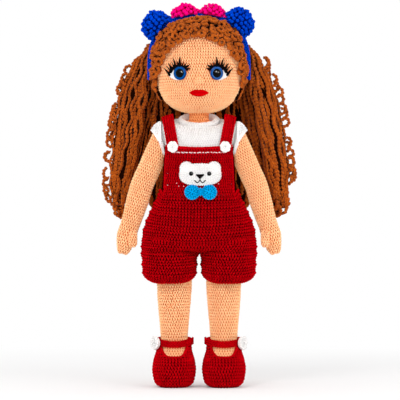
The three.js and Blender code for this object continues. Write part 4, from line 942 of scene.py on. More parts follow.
def hair_pieces():
    def behind(p):
        """The cap's skin in front of its edge, or below it, goes under the face's skin."""
        hide = (p[..., 1] < CAP_EDGE) | (p[..., 2] < 286)
        return np.where(hide[..., None], from_head_centre(p, 0.9), p)

    cap = Piece()
    shell(cap, head_form(2.4), 0.0, 0.05, around=96, fix=behind)
    crochet(cap, head_form(CAP_OUT), CAP_GAUGE, keep=lambda p: (p[:, 1] > CAP_EDGE) & (p[:, 2] > 287))
    cap.make("wig_cap_crochet", "head", "hair_yarn", ["wig_cap"])

    bead = vee(0.36, 0.27, 0.5, 0.1)
    for lock, name in enumerate(LOCK_NAMES):
        piece = Piece()
        front = "front" in name
        top = HAIR_SIDE_TOP if front else HAIR_TOP
        wider, inset = (1.22, 3.0) if "back" in name else (1.0, 6.0)
        turn = round_angles(28)
        across, depth = -bulge(np.sin(turn), 3) * wider, (1 + bulge(np.cos(turn), 3)) / 2
        core = [lock_point(lock, z, top, across, depth, inset) for z in np.linspace(top, HAIR_TIP + 2, 44)]
        # the lock's core, in the hair's dark under-cloth colour, is painted shadow seen between the strands
        closed_grid(piece, np.array(core), inside_out=True)
        places = []
        for inset, number in STRAND_LAYERS:
            for t in (np.arange(number) + rng.uniform(-0.2, 0.2, number)) / number * TAU + 0.11:
                depth = (1 + bulge(math.cos(t), 3)) / 2
                places.append((-bulge(math.sin(t), 3), depth, inset + rng.uniform(-0.9, 1.7)))
        for across, depth, inset in places:
            tip = HAIR_TIP + rng.uniform(0, 15) + (0 if depth > 0.4 else 8)
            z = np.linspace(top - rng.uniform(0, 4), tip, 90)
            drift = 0.1 * np.sin(np.linspace(0, rng.uniform(3, 7), 90) + rng.uniform(0, TAU))
            path = lock_point(lock, z, top, np.clip(across + drift, -1, 1), np.clip(depth + 0.6 * drift, 0, 1), inset)
            if depth > 0.45:
                path = np.concatenate([crown_path(path[0]), path])
            path = wavy(path, rng.uniform(0.5, 1.4), rng.uniform(24, 40), rng.uniform(0, TAU))
            if rng.random() < 0.75:
                path = np.concatenate([path, hook(path)])
            wide, phase, turns = rng.uniform(4.0, 4.7), rng.uniform(0, TAU), rng.uniform(-2, 2)
            chain(piece, path, None, rng.uniform(3.7, 4.3), wide, 0.3, tile=bead, twist=lambda way: phase + turns * way)
        open_loops(piece, lock, top, front)
        piece.make(f"{name}_curls", "head", "hair_yarn", [name])


FRINGE_ROWS, FRINGE_ROW, RINGLET_PITCH = 6, 6.2, 7.6
RINGLET_OUT = 3.2  # how far the ringlets' middles stand off the head


def fringe_piece():
    def in_front(p):
        """The skin under the curls, from the hairline back to the band; the rest goes under the face."""
        inside = (p[..., 0] / 46) ** 2 + ((p[..., 2] - HAIRLINE_Z) / 50.5) ** 2 < 1
        hide = inside | (p[..., 1] > -5.5) | (p[..., 2] < 298)
        return np.where(hide[..., None], from_head_centre(p, 0.9), p)

    def on_head(p, off):
        """The point of the head's skin, off its surface, on the line from its middle."""
        return from_head_centre(p, 1 / head_size(p, off)[..., None])

    def line(beta, way):
        """Between the hairline and the band; beta goes round the face from its right."""
        inner = face(HAIRLINE_W * np.cos(beta), HAIRLINE_Z + HAIRLINE_H * np.sin(beta), 1.0)
        inner[..., 1] = np.minimum(inner[..., 1], -6.0)
        inner = on_head(inner, 1.0)
        rise = np.clip(beta, 0.02, math.pi - 0.02)
        c, n = bulge(np.cos(rise), HEAD_Q), bulge(np.sin(rise), HEAD_Q)
        drop = 22 * (np.minimum(0, beta) + np.minimum(0, math.pi - beta))
        outer = np.stack([(HEAD_W + 3) * c, np.full_like(beta, -7.4), HEAD_MID + (HEAD_H + 3) * n + drop], -1)
        return inner + (outer - inner) * np.asarray(way)[..., None]

    piece = Piece()
    # under the ringlets, a skin in the hair's dark under-cloth colour: painted shade between them
    shell(piece, head_form(2.2), 0.0, 0.2, 1, 80, 120, fix=in_front)
    beta = np.linspace(-0.17, math.pi + 0.17, 400)
    reach = np.linalg.norm(line(beta, 1) - line(beta, 0), axis=1) * 1.06
    t = np.linspace(0, TAU * 1.3, 58)[:, None]
    for row in range(FRINGE_ROWS):
        way = (0.2 + FRINGE_ROW * row) / reach
        spine = on_head(line(beta, way), RINGLET_OUT)
        length = arc_length(spine)
        number = round(length[-1] / RINGLET_PITCH)
        for place in (np.arange(number) + 0.25 + 0.5 * (row % 2)) / number * length[-1] + rng.normal(0, 0.5, number):
            share, centre = np.interp(place, length, way), read_at(place, length, spine)
            if share > 1.0 or centre[1] > -8.2:
                continue
            out = unit(centre - HEAD_CENTRE)
            centre = centre + out * (rng.uniform(-0.6, 2.2) - 2.6 * np.clip((share - 0.55) / 0.3, 0, 1))
            centre = centre + rng.normal(0, 0.45, 3)
            axis = unit(out + rng.normal(0, 0.36, 3))
            first = unit(np.cross(axis, rng.normal(0, 1, 3)))
            size = rng.uniform(2.3, 2.75)
            first, second = first * size * rng.uniform(1.0, 1.2), np.cross(axis, first) * size
            ringlet = (first * np.cos(t) + second * np.sin(t)) * (0.86 + 0.22 * t / TAU)
            swell = 1 + 0.19 * np.sin(7 * t[:, 0] + place)
            strand(piece, centre + ringlet + axis * 1.9 * (t / TAU - 0.65), rng.uniform(1.6, 1.85) * swell, 8)
    piece.make("fringe_curls", "head", "hair_yarn", ["fringe"], [FRINGE, HAIR_UNDER_SHADE])


# Headband and pompoms

def knob():
    """A small loop of yarn drawn up tight, with a dimple in its middle."""
    t = np.linspace(0, TAU * 1.12, 17)
    return tube(np.stack([0.8 * np.cos(t), 0.8 * np.sin(t), 0.5 * (t / TAU - 0.5)], 1), 1.2, 8)


def band_line(y, off):
    """Over the head from one end to the other, at a place across the band."""
    x = (HEAD_W + off) * bulge(np.cos(np.linspace(0, math.pi, 120)), HEAD_Q) * math.sqrt(1 - (y / (HEAD_D + off)) ** 2)
    over = np.stack([x, np.full_like(x, y), head_top(x, y, off)], 1)
    down = np.linspace(306.5, HEAD_MID - 0.5, 6)
    ends = [np.stack([np.full(6, side), np.full(6, y), z], 1) for side, z in ((x[0], down), (x[-1], down[::-1]))]
    return np.concatenate([ends[0], over, ends[1]])


POMPOMS = [  # X, Z, radius
    ("left_blue_pompom", 39.0, 362.7, 16.3), ("right_blue_pompom", -41.4, 359.4, 16.3),
    ("left_pink_pompom", 12.7, 367.6, 15.3), ("right_pink_pompom", -13.5, 367.4, 15.3),
]
BAND_OUT = 7.1  # the band's outer side, off the head
KNOB_AREA = 19.5  # of a pompom's surface


def headband_pieces():
    band = Piece()
    walls = [np.stack([band_line(y, off) for y in (5.7, 3, 0, -3, -5.7)], 0) for off in (6.9, 3.6)]
    sheet(band, *walls)
    for y in (-4.6, -2.3, 0, 2.3, 4.6):
        line = band_line(y, 7.3)
        out = unit(np.cross(unit(np.gradient(line, axis=0)), [0, 1.0, 0]))
        out = out * np.sign((out * (line - HEAD_CENTRE)).sum(1, keepdims=True))
        chain(band, line, out, 2.7, 2.35, 0.25)
    for sign in (-1.0, 1.0):
        chain(band, band_line(6 * sign, 5.5), np.array([0, sign, 0]), 2.7, 4.2, 0.25, depth=2.5)
    band.make("headband_crochet", "headband", "blue_yarn", ["headband"])

    tile = knob()

    def above_band(p):
        """Keeps a ball's underside on the band."""
        return from_head_centre(p, 1 / np.minimum(head_size(p, BAND_OUT), 1)[..., None])

    for name, x, z, radius in POMPOMS:
        ball = Piece()
        core = radius - 3.4
        shell(ball, ball_form(x, 0, z, core, core, core, 1.52, 17), 0.0, steps=30, around=36, fix=above_band)
        count = int(4 * math.pi * (radius - 1.5) ** 2 / KNOB_AREA)
        k = np.arange(count) + 0.5
        polar, spin = np.arccos(1 - 2 * k / count), math.pi * (1 + 5**0.5) * k
        out = np.stack([np.cos(spin) * np.sin(polar), np.sin(spin) * np.sin(polar), np.cos(polar)], 1)
        out = unit(out + rng.normal(0, 0.03, out.shape))
        at = np.array([x, 0, z]) + out * (radius - 1.9 + rng.normal(0, 0.6, count))[:, None]
        use = head_size(at, BAND_OUT) > 1
        at, out = at[use], out[use]
        out = unit(out + rng.normal(0, 0.16, out.shape))
        side = unit(np.cross(out, rng.normal(0, 1, out.shape)))
        size = rng.normal(1, 0.07, len(at))
        stamp(ball, tile, at, side, np.cross(out, side), out, size, size, size * 1.5)
        ball.make(f"{name}_loops", "headband", "blue_yarn" if "blue" in name else "pink_yarn", [name])


# Trunk skin, neck, shirt and sleeves

NECK_W, NECK_D, NECK_FROM = 15.5, 12.5, 240  # half sizes of the neck, and where its surroundings start


def eased(share):
    return share**2 * (3 - 2 * share)


def scoop(form, most):
    """Lowers a trunk's top in front of the neck."""
    def lowered(s, a):
        p = form(s, a)
        wide = np.hypot(p[..., 0] / NECK_W, p[..., 1] / NECK_D)
        near = np.clip((2.3 - wide) / 1.1, 0, 1) * np.clip((wide - 0.55) / 0.35, 0, 1)
        front = np.clip((9 - p[..., 1]) / 16, 0, 1)
        return p - (most * eased(near) * eased(front) * (p[..., 2] > NECK_FROM))[..., None] * UP

    return lowered


def trunk_pieces():
    body = Piece()
    form = scoop(trunk_form(0), 8.8)
    shell(body, form, UNDER)
    crochet(body, form, LIMB_GAUGE, lo=0.9, keep=lambda p: np.hypot(p[:, 0] / 17, p[:, 1] / 14) < 1)
    neck = rings_form([flat_ring(0, 0, z, 9.6, 9.6, 2) for z in (257.0, 262.5, 268.0, 273.4)])
    shell(body, neck, -0.8, steps=12, around=36)
    # the neck's stitches take the skin yarn in painted shade
    crochet(body, neck, NECK_GAUGE, mat=2)
    body.make("body_crochet", "torso", "skin_yarn", ["body_skin"], [SKIN, SKIN_UNDER_SHADE, SKIN_SHADED])

    shirt = Piece()
    form = scoop(trunk_form(SHIRT_OUT), 7.8)
    heights = [up for up, _, _ in TRUNK]
    lo = np.interp((186 - TRUNK_LOW) / (TRUNK_TOP - TRUNK_LOW), heights, np.linspace(0, 1, len(heights)))

    def from_neck(p):
        """How far out a point lies; 1 is the neck's opening."""
        return np.hypot(p[..., 0] / 15.9, p[..., 1] / 12.9)

    def tucked(p):
        """The edge of the neck goes down inside the roll."""
        return p - ((from_neck(p) < 1.12) & (p[..., 2] > NECK_FROM))[..., None] * UP * 7

    def seen(p):
        under_bib = (p[:, 1] < 0) & (np.abs(p[:, 0]) < 31) & (p[:, 2] < 232)
        return (from_neck(p) >= 1) & ~under_bib

    top = top_where(form, lambda p: (from_neck(p) < 1) & (p[..., 2] > 250))
    trimmed(shirt, form, -0.75, -1.9, lo, top, 60, 80, fix=tucked)
    crochet(shirt, form, SHIRT_GAUGE, off=-0.35, lo=lo, hi=0.995, keep=seen, jitter=1.6, steps=5)

    def roll(s, a):
        s, a = both(s, a)
        out, up = 17.6 + 2.8 * np.cos(TAU * s), 2.8 * np.sin(TAU * s)
        x, y = out * np.cos(a), out * np.sin(a) * NECK_D / NECK_W
        c, n = math.cos(0.4), math.sin(0.4)
        return np.stack([x, y * c - up * n, 265.4 + y * n + up * c], -1)

    shell(shirt, roll, -0.8, steps=14, ends=False)
    crochet(shirt, roll, ROLL_GAUGE, jitter=1.4)
    height, wide, _ = trunk_tables(SHIRT_OUT)
    for sign in (1, -1):
        z = np.linspace(236, 261, 30)
        for back in (False, True):
            for inward in (2.9, 5.8):
                line = on_trunk(sign * (np.interp(z, height, wide) - inward), z, SHIRT_OUT + 0.4, back)
                rope(shirt, line, 1.9, 5.2)
        z = np.linspace(238.0, 256.0, 20)
        for y in (-4.5, -1.5, 1.5):
            rope(shirt, np.stack([np.full(20, sign * 36.1), np.full(20, y), z], 1), 1.5, 5.2)
    shirt.make("shirt_crochet", "torso", "shirt_yarn", ["shirt"])


def arm_form(sign, grow):
    spine = [np.array([sign * (ARM_X + ARM_OUT * o), -ARM_FORE * d, SHOULDER - ARM_DOWN * d]) for d, o, _, _ in ARM]
    rings = [
        flat_ring(sign * ARM_X, 0, SHOULDER + rise * (ARM_R + grow), ARM_R * w + grow, ARM_R * w + grow, 2)
        for rise, w in ARM_CROWN
    ]
    for i, (_, _, w, d) in enumerate(ARM):
        along = unit(spine[min(i + 1, len(ARM) - 1)] - spine[max(i - 1, 0)])
        side = unit(np.cross([0, 1.0, 0], along)) * -(ARM_R * w + grow)
        rings.append((spine[i], side, (0, ARM_R * d + grow, 0), 2))
    return rings_form(rings[::-1])


def socket_fix(sign, gap):
    """Keeps an arm's inner end off the trunk."""
    def fix(p):
        reach = np.hypot(p[..., 1], p[..., 2] - SHOULDER)
        face_x = np.interp(reach, [14, 20, 45, 46], [38.2 + gap, 34.2 + gap, 34.2 + gap, -99])
        x = sign * np.maximum(sign * p[..., 0], face_x)
        return np.stack([x, p[..., 1], p[..., 2]], -1)
    return fix


def arm_pieces():
    hem_x, hem_z = 31.0, 231.0
    slope = unit(np.array([16.0, 25.0]))
    for name, sign in SIDES.items():
        def beyond(p):
            """How far a point lies past the sleeve's hem."""
            return (sign * p[..., 0] - hem_x) * slope[1] - (p[..., 2] - hem_z) * slope[0]

        arm = Piece()
        form = arm_form(sign, 0)
        shell(arm, form, UNDER, steps=90, around=40, fix=socket_fix(sign, 0.2))
        crochet(arm, form, LIMB_GAUGE, lo=0.01, keep=lambda p: beyond(p) > -3, fix=socket_fix(sign, 0.6))
        thumb = []
        for way in np.linspace(0.02, 0.98, 9):
            radius = 4.1 * math.sqrt(max(0.1, 1 - (2 * way - 1) ** 4))
            x, drop = ARM_X + 31.2 + 0.35 * (1 - way), 93 + 17.5 * (1 - way)
            y = -ARM_FORE * drop / ARM_DOWN - ARM_R * 0.66
            thumb.append(flat_ring(sign * x, y, SHOULDER - drop - 1, radius, radius, 2))
        thumb = rings_form(thumb)
        shell(arm, thumb, -0.8, steps=24, around=20)
        crochet(arm, thumb, THUMB_GAUGE)
        arm.make(f"{name}_arm_crochet", f"{name}_arm", "skin_yarn", [f"{name}_arm"])

        sleeve = Piece()
        form = arm_form(sign, 2.4)
        lining = top_where(form, lambda p: beyond(p) < -1.8, 0.3, smooth=1)

        def lined(p):
            """The lining draws in behind the stitches near the hem."""
            q = socket_fix(sign, 0.4)(p)
            near = np.clip((beyond(q) + 6) / 5, 0, 1)[..., None]
            return q - near * np.array([sign * 1.9, 0, 1.4])

        trimmed(sleeve, form, -0.75, -2.0, lining, 0.995, 30, 56, fix=lined)
        outside = socket_fix(sign, 0.7)
        covered = {"keep": lambda p: beyond(p) < -0.8, "fix": outside}
        crochet(sleeve, form, SHIRT_GAUGE, off=-0.35, lo=0.3, hi=0.99, jitter=1.6, **covered)
        turn = np.linspace(0, TAU, 61)
        edge = outside(form(top_where(form, lambda p: beyond(p) < 0, 0.3, smooth=1)(turn), turn))
        chain(sleeve, edge, unit(edge - edge.mean(0)), 2.5, 2.8, 0.28)
        sleeve.make(f"{name}_sleeve_crochet", f"{name}_arm", "shirt_yarn", [f"{name}_sleeve"])


# Shorts, bib, straps and buttons

def ray_reach(c, s, x0, a, b, q):
    """How far a ray from the middle runs until it leaves a superellipse."""
    def inside(r):
        return np.abs((r * c - x0) / a) ** q + np.abs(r * s / b) ** q < 1

    lo = np.maximum(0, x0 * c)
    ok = inside(lo)
    hi = np.full_like(lo, 120.0)
    for _ in range(22):
        mid = (lo + hi) / 2
        hit = inside(mid)
        lo, hi = np.where(hit, mid, lo), np.where(hit, hi, mid)
    return np.where(ok, lo, 0.0)


def droop(z, a, low, high, most):
    """Rows hang lower in front than at the sides."""
    way = np.clip((z - low) / (high - low), 0, 1)
    return most * np.maximum(0, -np.sin(a)) ** 1.6 * np.sin(math.pi * way) ** 0.8


HIP_LINE, LEG_LINE = 152, 146  # below these the hips keep their width, and the legs show
SEAM_SHARPNESS = 44  # of the folds where legs and hips meet


def seat_form(s, a):
    """The shorts over the crotch: the trunk, both legs and the seam between them in one soft outline."""
    s, a = both(s, a)
    c, n = np.cos(a), np.sin(a)
    bottom = CROTCH - 1.5
    rise = 5 * np.clip((n + 0.5) / 0.2, 0, 1) * np.clip(s, 0, 1) ** 4
    z = bottom + (WAIST - bottom) * np.clip(s, 0, 1) + rise
    z = z - droop(z, a, bottom, WAIST, 4.5)
    height, w, d = trunk_tables(OVERALL_OUT - 0.7)
    wide, deep = np.interp(z, height, w), np.interp(z, height, d)
    low = z < HIP_LINE
    hips = ray_reach(c, n, 0.0, np.where(low, 56.2, wide), np.where(low, np.maximum(deep, 40), deep), TRUNK_Q)
    hips = hips * np.where(low, 1 - 0.62 * np.clip((140.5 - z) / 8, 0, 1) ** 2 * np.abs(n) ** 3, 1)
    leg_w, leg_d = (look_up(SHORTS_LEG, z, k) for k in (1, 2))
    legs = [ray_reach(c, n, x0, leg_w, leg_d, LEG_Q) * (z < LEG_LINE) for x0 in (LEG_SPREAD, -LEG_SPREAD)]
    total = sum(r**SEAM_SHARPNESS for r in (hips, *legs)) ** (1 / SEAM_SHARPNESS)
    return np.stack([total * c, total * n, z], -1)


def shorts_leg(sign):
    rows = rings_form([flat_ring(sign * LEG_SPREAD, 0, z, w, d, LEG_Q) for z, w, d in SHORTS_LEG])

    def form(s, a):
        p = rows(s, a)
        z = p[..., 2]
        a = np.broadcast_to(a, z.shape)
        arched = 3.2 * np.cos(a) ** 4 * np.clip((118 - z) / 14, 0, 1)
        return p - (droop(z, a, 104.4, 144, 2.5) - arched)[..., None] * UP

    return form


def shorts_piece():
    piece = Piece()
    loose = {"off": -0.45, "lean": 0.5, "ridge": 0.5, "steps": 5, "sides": 4, **OPEN_CLOTH}
    shell(piece, seat_form, -1.1, 0.02, around=120)
    crochet(piece, seat_form, SHORTS_GAUGE, **loose)
    heights = [z for z, _, _ in SHORTS_LEG]
    cloth_top, stitch_top = np.interp([CROTCH + 3, CROTCH + 1.4], heights, np.linspace(0, 1, len(heights)))
    for sign in (1, -1):
        leg = shorts_leg(sign)
        trimmed(piece, leg, -1.1, -2.8, 0.0, cloth_top)
        crochet(piece, leg, SHORTS_GAUGE, lo=0.01, hi=stitch_top, **loose)
        edge = leg(np.full(81, 0.006), np.linspace(0, TAU, 81))
        chain(piece, edge, unit((edge - edge.mean(0)) * [1, 1, 0] - 14 * UP), 3.2, 3.2, 0.27)
    edge = seat_form(np.full(90, 0.995), np.linspace(-0.55, math.pi + 0.55, 90))
    chain(piece, edge, unit((edge - edge.mean(0)) * [1, 1, 0]), 2.9, 2.6, 0.27)
    piece.make("shorts_crochet", "torso", "red_yarn", ["overall_shorts"])


BUTTON_CORE = [(0.01, 0.1), (4.7, 0.1), (5.3, 0.9), (5.0, 2.0), (3.8, 2.5), (1.6, 2.1), (0.01, 1.7)]
PETALS = 7


def button(name, frame_at, size, node):
    """A flower worked round a turned disc."""
    piece = Piece()
    origin, e1, e2, out = frame_at
    lathe(piece, BUTTON_CORE, frame_at, 24, 1)
    u = np.linspace(-1, 1, 13)[:, None]
    arch = 1 - u**2
    for k in range(PETALS):
        t = TAU * k / PETALS + 0.2
        spoke, side = e1 * math.cos(t) + e2 * math.sin(t), e2 * math.cos(t) - e1 * math.sin(t)
        rim = spoke * (1.9 + 3.0 * np.sqrt(arch)) + side * (2.05 * u * (0.55 + 0.45 * arch) * 1.3)
        strand(piece, origin + rim + out * (2.2 + 0.5 * arch), 1.0, 7, False)
        strand(piece, origin + spoke * (1.8 + 1.3 * (u + 1)) + out * (2.5 + 0.3 * arch), 0.85, 6, False)
    t = np.linspace(0, TAU, 25)[:, None]
    chain(piece, origin + (e1 * np.cos(t) + e2 * np.sin(t)) * 1.75 + out * 2.75, out, 1.5, 1.9, 0.3)
    piece.verts = [origin + (v - origin) * size for v in piece.verts]
    piece.make(name, "torso", "white_yarn", [node], [WHITE_CLEAR, WHITE_UNDER_SHADE])


BIB_LOW, BIB_HIGH, BIB_LOW_W, BIB_HIGH_W = 191.3, 240.5, 35, 32.8


def bib_edge(z):
    return BIB_LOW_W + (BIB_HIGH_W - BIB_LOW_W) * (z - BIB_LOW) / (BIB_HIGH - BIB_LOW)


def bib_top(x):
    return BIB_HIGH - 2.6 * (1 - (x / BIB_HIGH_W) ** 2)


def bib_piece():
    bib = Piece()
    def outline(u, v):
        x = 2 * u - 1
        low_x, high_x = x * 34.2, x * 32.0
        flare = 1 + 0.09 * (1 - v) ** 8
        return (low_x + (high_x - low_x) * v) * flare, 190.2 + (bib_top(high_x) - 0.4 - 190.2) * v

    slab_on(bib, on_trunk, outline, OVERALL_IN, OVERALL_CLOTH, 1, 30, 40)
    row, width, thick = BIB_GAUGE
    count = 18
    for k in range(count):
        xs, zs = outline(np.linspace(0, 1, 121), np.full(121, (k + 0.5) / count))
        arc = arc_length(on_trunk(xs, zs, OVERALL_ON))
        number = round(arc[-1] / width)
        at = (np.arange(number) + 0.5 + (0.35 * k % 1 - 0.5) * 0.5) / number * arc[-1]
        x, z = np.interp(at, arc, xs), np.interp(at, arc, zs)
        use = (x / 19.5) ** 2 + ((z - 211.4) / 9.6) ** 2 >= 1  # not under the bear's face
        patch(bib, x[use], z[use], OVERALL_ON, (0, 1), arc[-1] / number, row, thick, 0.34, 0.56)
    xs = np.linspace(-33, 33, 90)
    edge_chain(bib, xs, bib_top(xs) - 0.6, OVERALL_ON)
    for side in (-1, 1):
        zs = np.linspace(192, 240, 60)
        edge_chain(bib, side * (bib_edge(zs) - 0.7), zs, OVERALL_ON)
    xs = np.linspace(-24.5, 25.5, 80)  # a running stitch of white yarn under the top edge
    zs = bib_top(xs) - 6.2 + 1.3 * (1 - (xs / 25.5) ** 2) + 0.3 * np.sin(xs * 1.7)
    edge_chain(bib, xs, zs, OVERALL_OUT - 0.35 + 0.5 * np.sin(xs * 2.3), 2.2, 0.95, mat=2)
    dots_x = np.array([-31.2, -22.1, -20.0, -15.1, 19.3, 31.8, -31.0])
    dots_z = np.array([200.7, 202.7, 199.7, 199.7, 201.9, 201.9, 212.5])
    dots = patch_frames(on_trunk, dots_x, dots_z, OVERALL_OUT - 0.25)
    stamp(bib, vee(0.3, 0.2, 0.3), *dots, 0.9, 0.9, 1.1, 2)
    bib.make("bib_crochet", "torso", "red_yarn", ["overall_bib"], [RED, RED_UNDER_SHADE, WHITE])


def strap_pieces():
    z_front, z_top, z_back = 236.0, 262.5, 191.8
    for name, sign in SIDES.items():
        def over(c, off):
            """Up the front, over the shoulder and down the back, c across from the strap's middle."""
            up, down = np.linspace(z_front, z_top, 24), np.linspace(z_top, z_back, 60)
            front, back = (
                on_trunk(sign * (31.2 - 0.178 * (268 - z)) + c, z, off, z is down) for z in (up, down)
            )
            front[:, 1] -= 1.2 * np.clip((244 - up) / 3, 0, 1)
            t = np.linspace(0.06, 0.94, 14)[:, None]
            a, b = front[-1], back[0]
            span = np.linalg.norm(a - b) * 0.36
            p1, p2 = a + unit(a - front[-2]) * span, b + unit(b - back[1]) * span
            arch = (1 - t) ** 3 * a + 3 * t * (1 - t) ** 2 * p1 + 3 * t**2 * (1 - t) * p2 + t**3 * b
            return np.concatenate([front, arch, back])

        strap = Piece()
        columns = np.linspace(5.6, -5.6, 7)
        sheet(strap, *(np.stack([over(c, off) for c in columns], 0) for off in (OVERALL_CLOTH, OVERALL_IN)))
        for c in np.linspace(-4.8, 4.8, 5):
            line = over(c, OVERALL_ON)
            across = unit(over(c + 0.5, OVERALL_ON) - over(c - 0.5, OVERALL_ON))
            chain(strap, line, unit(np.cross(across, unit(np.gradient(line, axis=0)))), 2.9, 2.5, 0.25)
        strap.make(f"{name}_strap_crochet", "torso", "red_yarn", [f"{name}_strap"])

        point, _, _, out = surface_frame(on_trunk, sign * 23.0, 238.6)
        out = unit(out * [0.6, 1, 0.6])
        place = upright(point + out * (OVERALL_OUT + 0.3), out)
        button(f"{name}_flower_button", place, 1.0, f"{name}_bib_button")


# Bear and bow on the bib

BEAR_X, BEAR_Z, BOW_Z, KNOT_Z = 1.3, 211.2, 193.8, 194.1


def bear_pieces():
    middle = BEAR_X - 0.3
    bear = Piece()
    for sign in (1, -1):
        disc(bear, BEAR_X + sign * 13.6, 217.4, 6.8, 6.6, PATCH_OUT - 0.3, EAR_GAUGE)
    disc(bear, BEAR_X, BEAR_Z, 20.8, 10.8, q=2.5)
    patch(bear, BEAR_X + np.linspace(-8.5, 8.5, 8), np.full(8, BEAR_Z), PATCH_OUT + 0.1, (1, 0), *PATCH_GAUGE)
    bear.make("bear_face_crochet", "torso", "white_yarn", ["bear_face"])
    for name, sign in SIDES.items():
        eye = Piece()
        point, e1, e2, out = surface_frame(on_trunk, middle + sign * 7.9, BEAR_Z)
        profile = [(0.01, -0.3), (2.05, -0.3)] + dome(2.2, 1.4, 0, 8)
        lathe(eye, profile, (point + out * (TRIM_IN + 0.9), e1, e2, out), 24)
        eye.make(f"bear_{name}_bead", "torso", "black_bead", [f"bear_{name}_eye"])
    nose = Piece()
    for k in range(-4, 5):
        tall = 4.6 * (1 - abs(k) / 5.2)
        bulged = 0.4 * np.sin(np.linspace(0, math.pi, 9))
        z = np.linspace(211.3, 211.3 - tall, 9)
        thread(nose, on_trunk, np.full(9, middle + k * 0.86), z, TRIM_IN + 0.9, bulged, 0.55)
    nose.make("bear_nose_thread", "torso", "black_thread", ["bear_nose"])
    mouth = Piece()
    t = np.linspace(0, 1, 22)
    for sign in (1, -1):
        z = 205.7 - 2.3 * np.sin(math.pi * np.minimum(1, t * 1.1)) - 0.5 * t
        thread(mouth, on_trunk, middle + sign * 5.6 * t, z, TRIM_IN + 0.7, 0, 0.5)
    thread(mouth, on_trunk, np.full(6, middle), np.linspace(207.6, 205.4, 6), TRIM_IN + 0.7, 0, 0.45)
    mouth.make("bear_mouth_thread", "torso", "black_thread", ["bear_mouth"])
    for name, sign in SIDES.items():
        loop = Piece()
        disc(loop, BEAR_X + 0.4 + sign * 8.5, BOW_Z, 7.5, 7.4)
        loop.make(f"bow_{name}_crochet", "torso", "sky_blue_yarn", [f"bow_{name}_disc"])
    knot = Piece()
    disc(knot, BEAR_X + 0.6, KNOT_Z, 2.4, 4.0, TRIM_OUT, KNOT_GAUGE, crown=0.8)
    knot.make("bow_knot_crochet", "torso", "sky_blue_yarn", ["bow_knot"])


# Legs and shoes

def foot_rings(sign, grow):
    rings = []
    for share, w, f, b in FOOT:
        front, back = FOOT_FRONT * f + grow, FOOT_BACK * b + grow
        rings.append(foot_ring(sign, FOOT_LOW + (ANKLE - FOOT_LOW) * share, FOOT_W * w + grow, front, back))
    return rings


def foot_ring(sign, z, wide, front, back):
    return flat_ring(sign * FOOT_X, (back - front) / 2, z, wide, (back + front) / 2, FOOT_Q)


def leg_piece(name, sign):
    leg = Piece()
    form = rings_form(foot_rings(sign, 0) + [
        foot_ring(sign, ANKLE, ANKLE_R, ANKLE_R, ANKLE_R),
        flat_ring(sign * FOOT_X, 0, HEM - HEM_R, HEM_R * 0.94, HEM_R * 0.94, 2),
        flat_ring(sign * FOOT_X, 0, HEM, HEM_R, HEM_R, 2),
        flat_ring(sign * 27.6, 0, 140, LEG_TOP_R, LEG_TOP_R, 2),
    ])
    shell(leg, form, UNDER, steps=110, around=44)
    crochet(leg, form, HEAD_GAUGE, keep=lambda p: (p[:, 2] > 26) & (p[:, 2] < 116))
    leg.make(f"{name}_leg_crochet", "torso", "skin_yarn", [f"{name}_leg"])


def shoe_piece(name, sign):
    shoe = Piece()
    grow = 3.3
    low = [(0.0, 10.8, 32.4, 10.0), (0.8, 13.9, 35.9, 11.9), (2.8, 17.1, 38.8, 14.6), (6.4, 19.5, 40.6, 16.4)]
    bottom = [foot_ring(sign, *ring) for ring in low]
    cuff = foot_ring(sign, 49.0, ANKLE_R + grow, ANKLE_R + grow, ANKLE_R + grow)
    form = rings_form(bottom + foot_rings(sign, grow)[2:] + [cuff])

    def opened(p):
        """In the opening: low over the instep, up at the sides and the heel."""
        way = np.clip((p[..., 1] + 17) / 10, 0, 1)
        across = np.clip(np.abs(p[..., 0] - sign * FOOT_X) / 15.4, 0, 1)
        return p[..., 2] > 30.3 + 17 * np.maximum(way**2, across**4.5)

    top = top_where(form, opened, around=96, smooth=3)
    trimmed(shoe, form, -0.9, -2.9, 0.0, top, 46, 96)
    rim = form(np.zeros(64), round_angles(64))
    j = np.arange(64)
    for size, z, turn in ((1.0, 0.3, -1), (0.96, 2.6, 1)):
        sole = rim.mean(0) + np.append(rim - rim.mean(0), [[0, 0, 0]], 0) * size
        sole[:, 2] = z
        shoe.add(sole, None, np.stack([np.full(64, 64), *[j, (j + 1) % 64][::turn]], -1), 1)
    crochet(
        shoe, form, SHOE_GAUGE, off=-0.45, lo=0.07, lean=0.5, keep=lambda p: ~opened(p + 1.2 * UP), **OPEN_CLOTH,
    )
    turn = np.linspace(0, TAU, 121)
    levels = top(turn)
    out = frames(form, levels, turn)[3]
    chain(shoe, frames(form, levels, turn, -0.8)[0], unit(out + [0, 0, 0.4]), 2.7, 2.9, 0.3)
    edge, _, _, out = frames(form, np.full(121, 0.06), turn, -0.9)
    edge[:, 2] = 1.35
    chain(shoe, edge, unit(out * [1, 1, 0]), 3.0, 2.4, 0.27)
    shoe.make(f"{name}_shoe_crochet", "torso", "red_yarn", [f"{name}_shoe"])


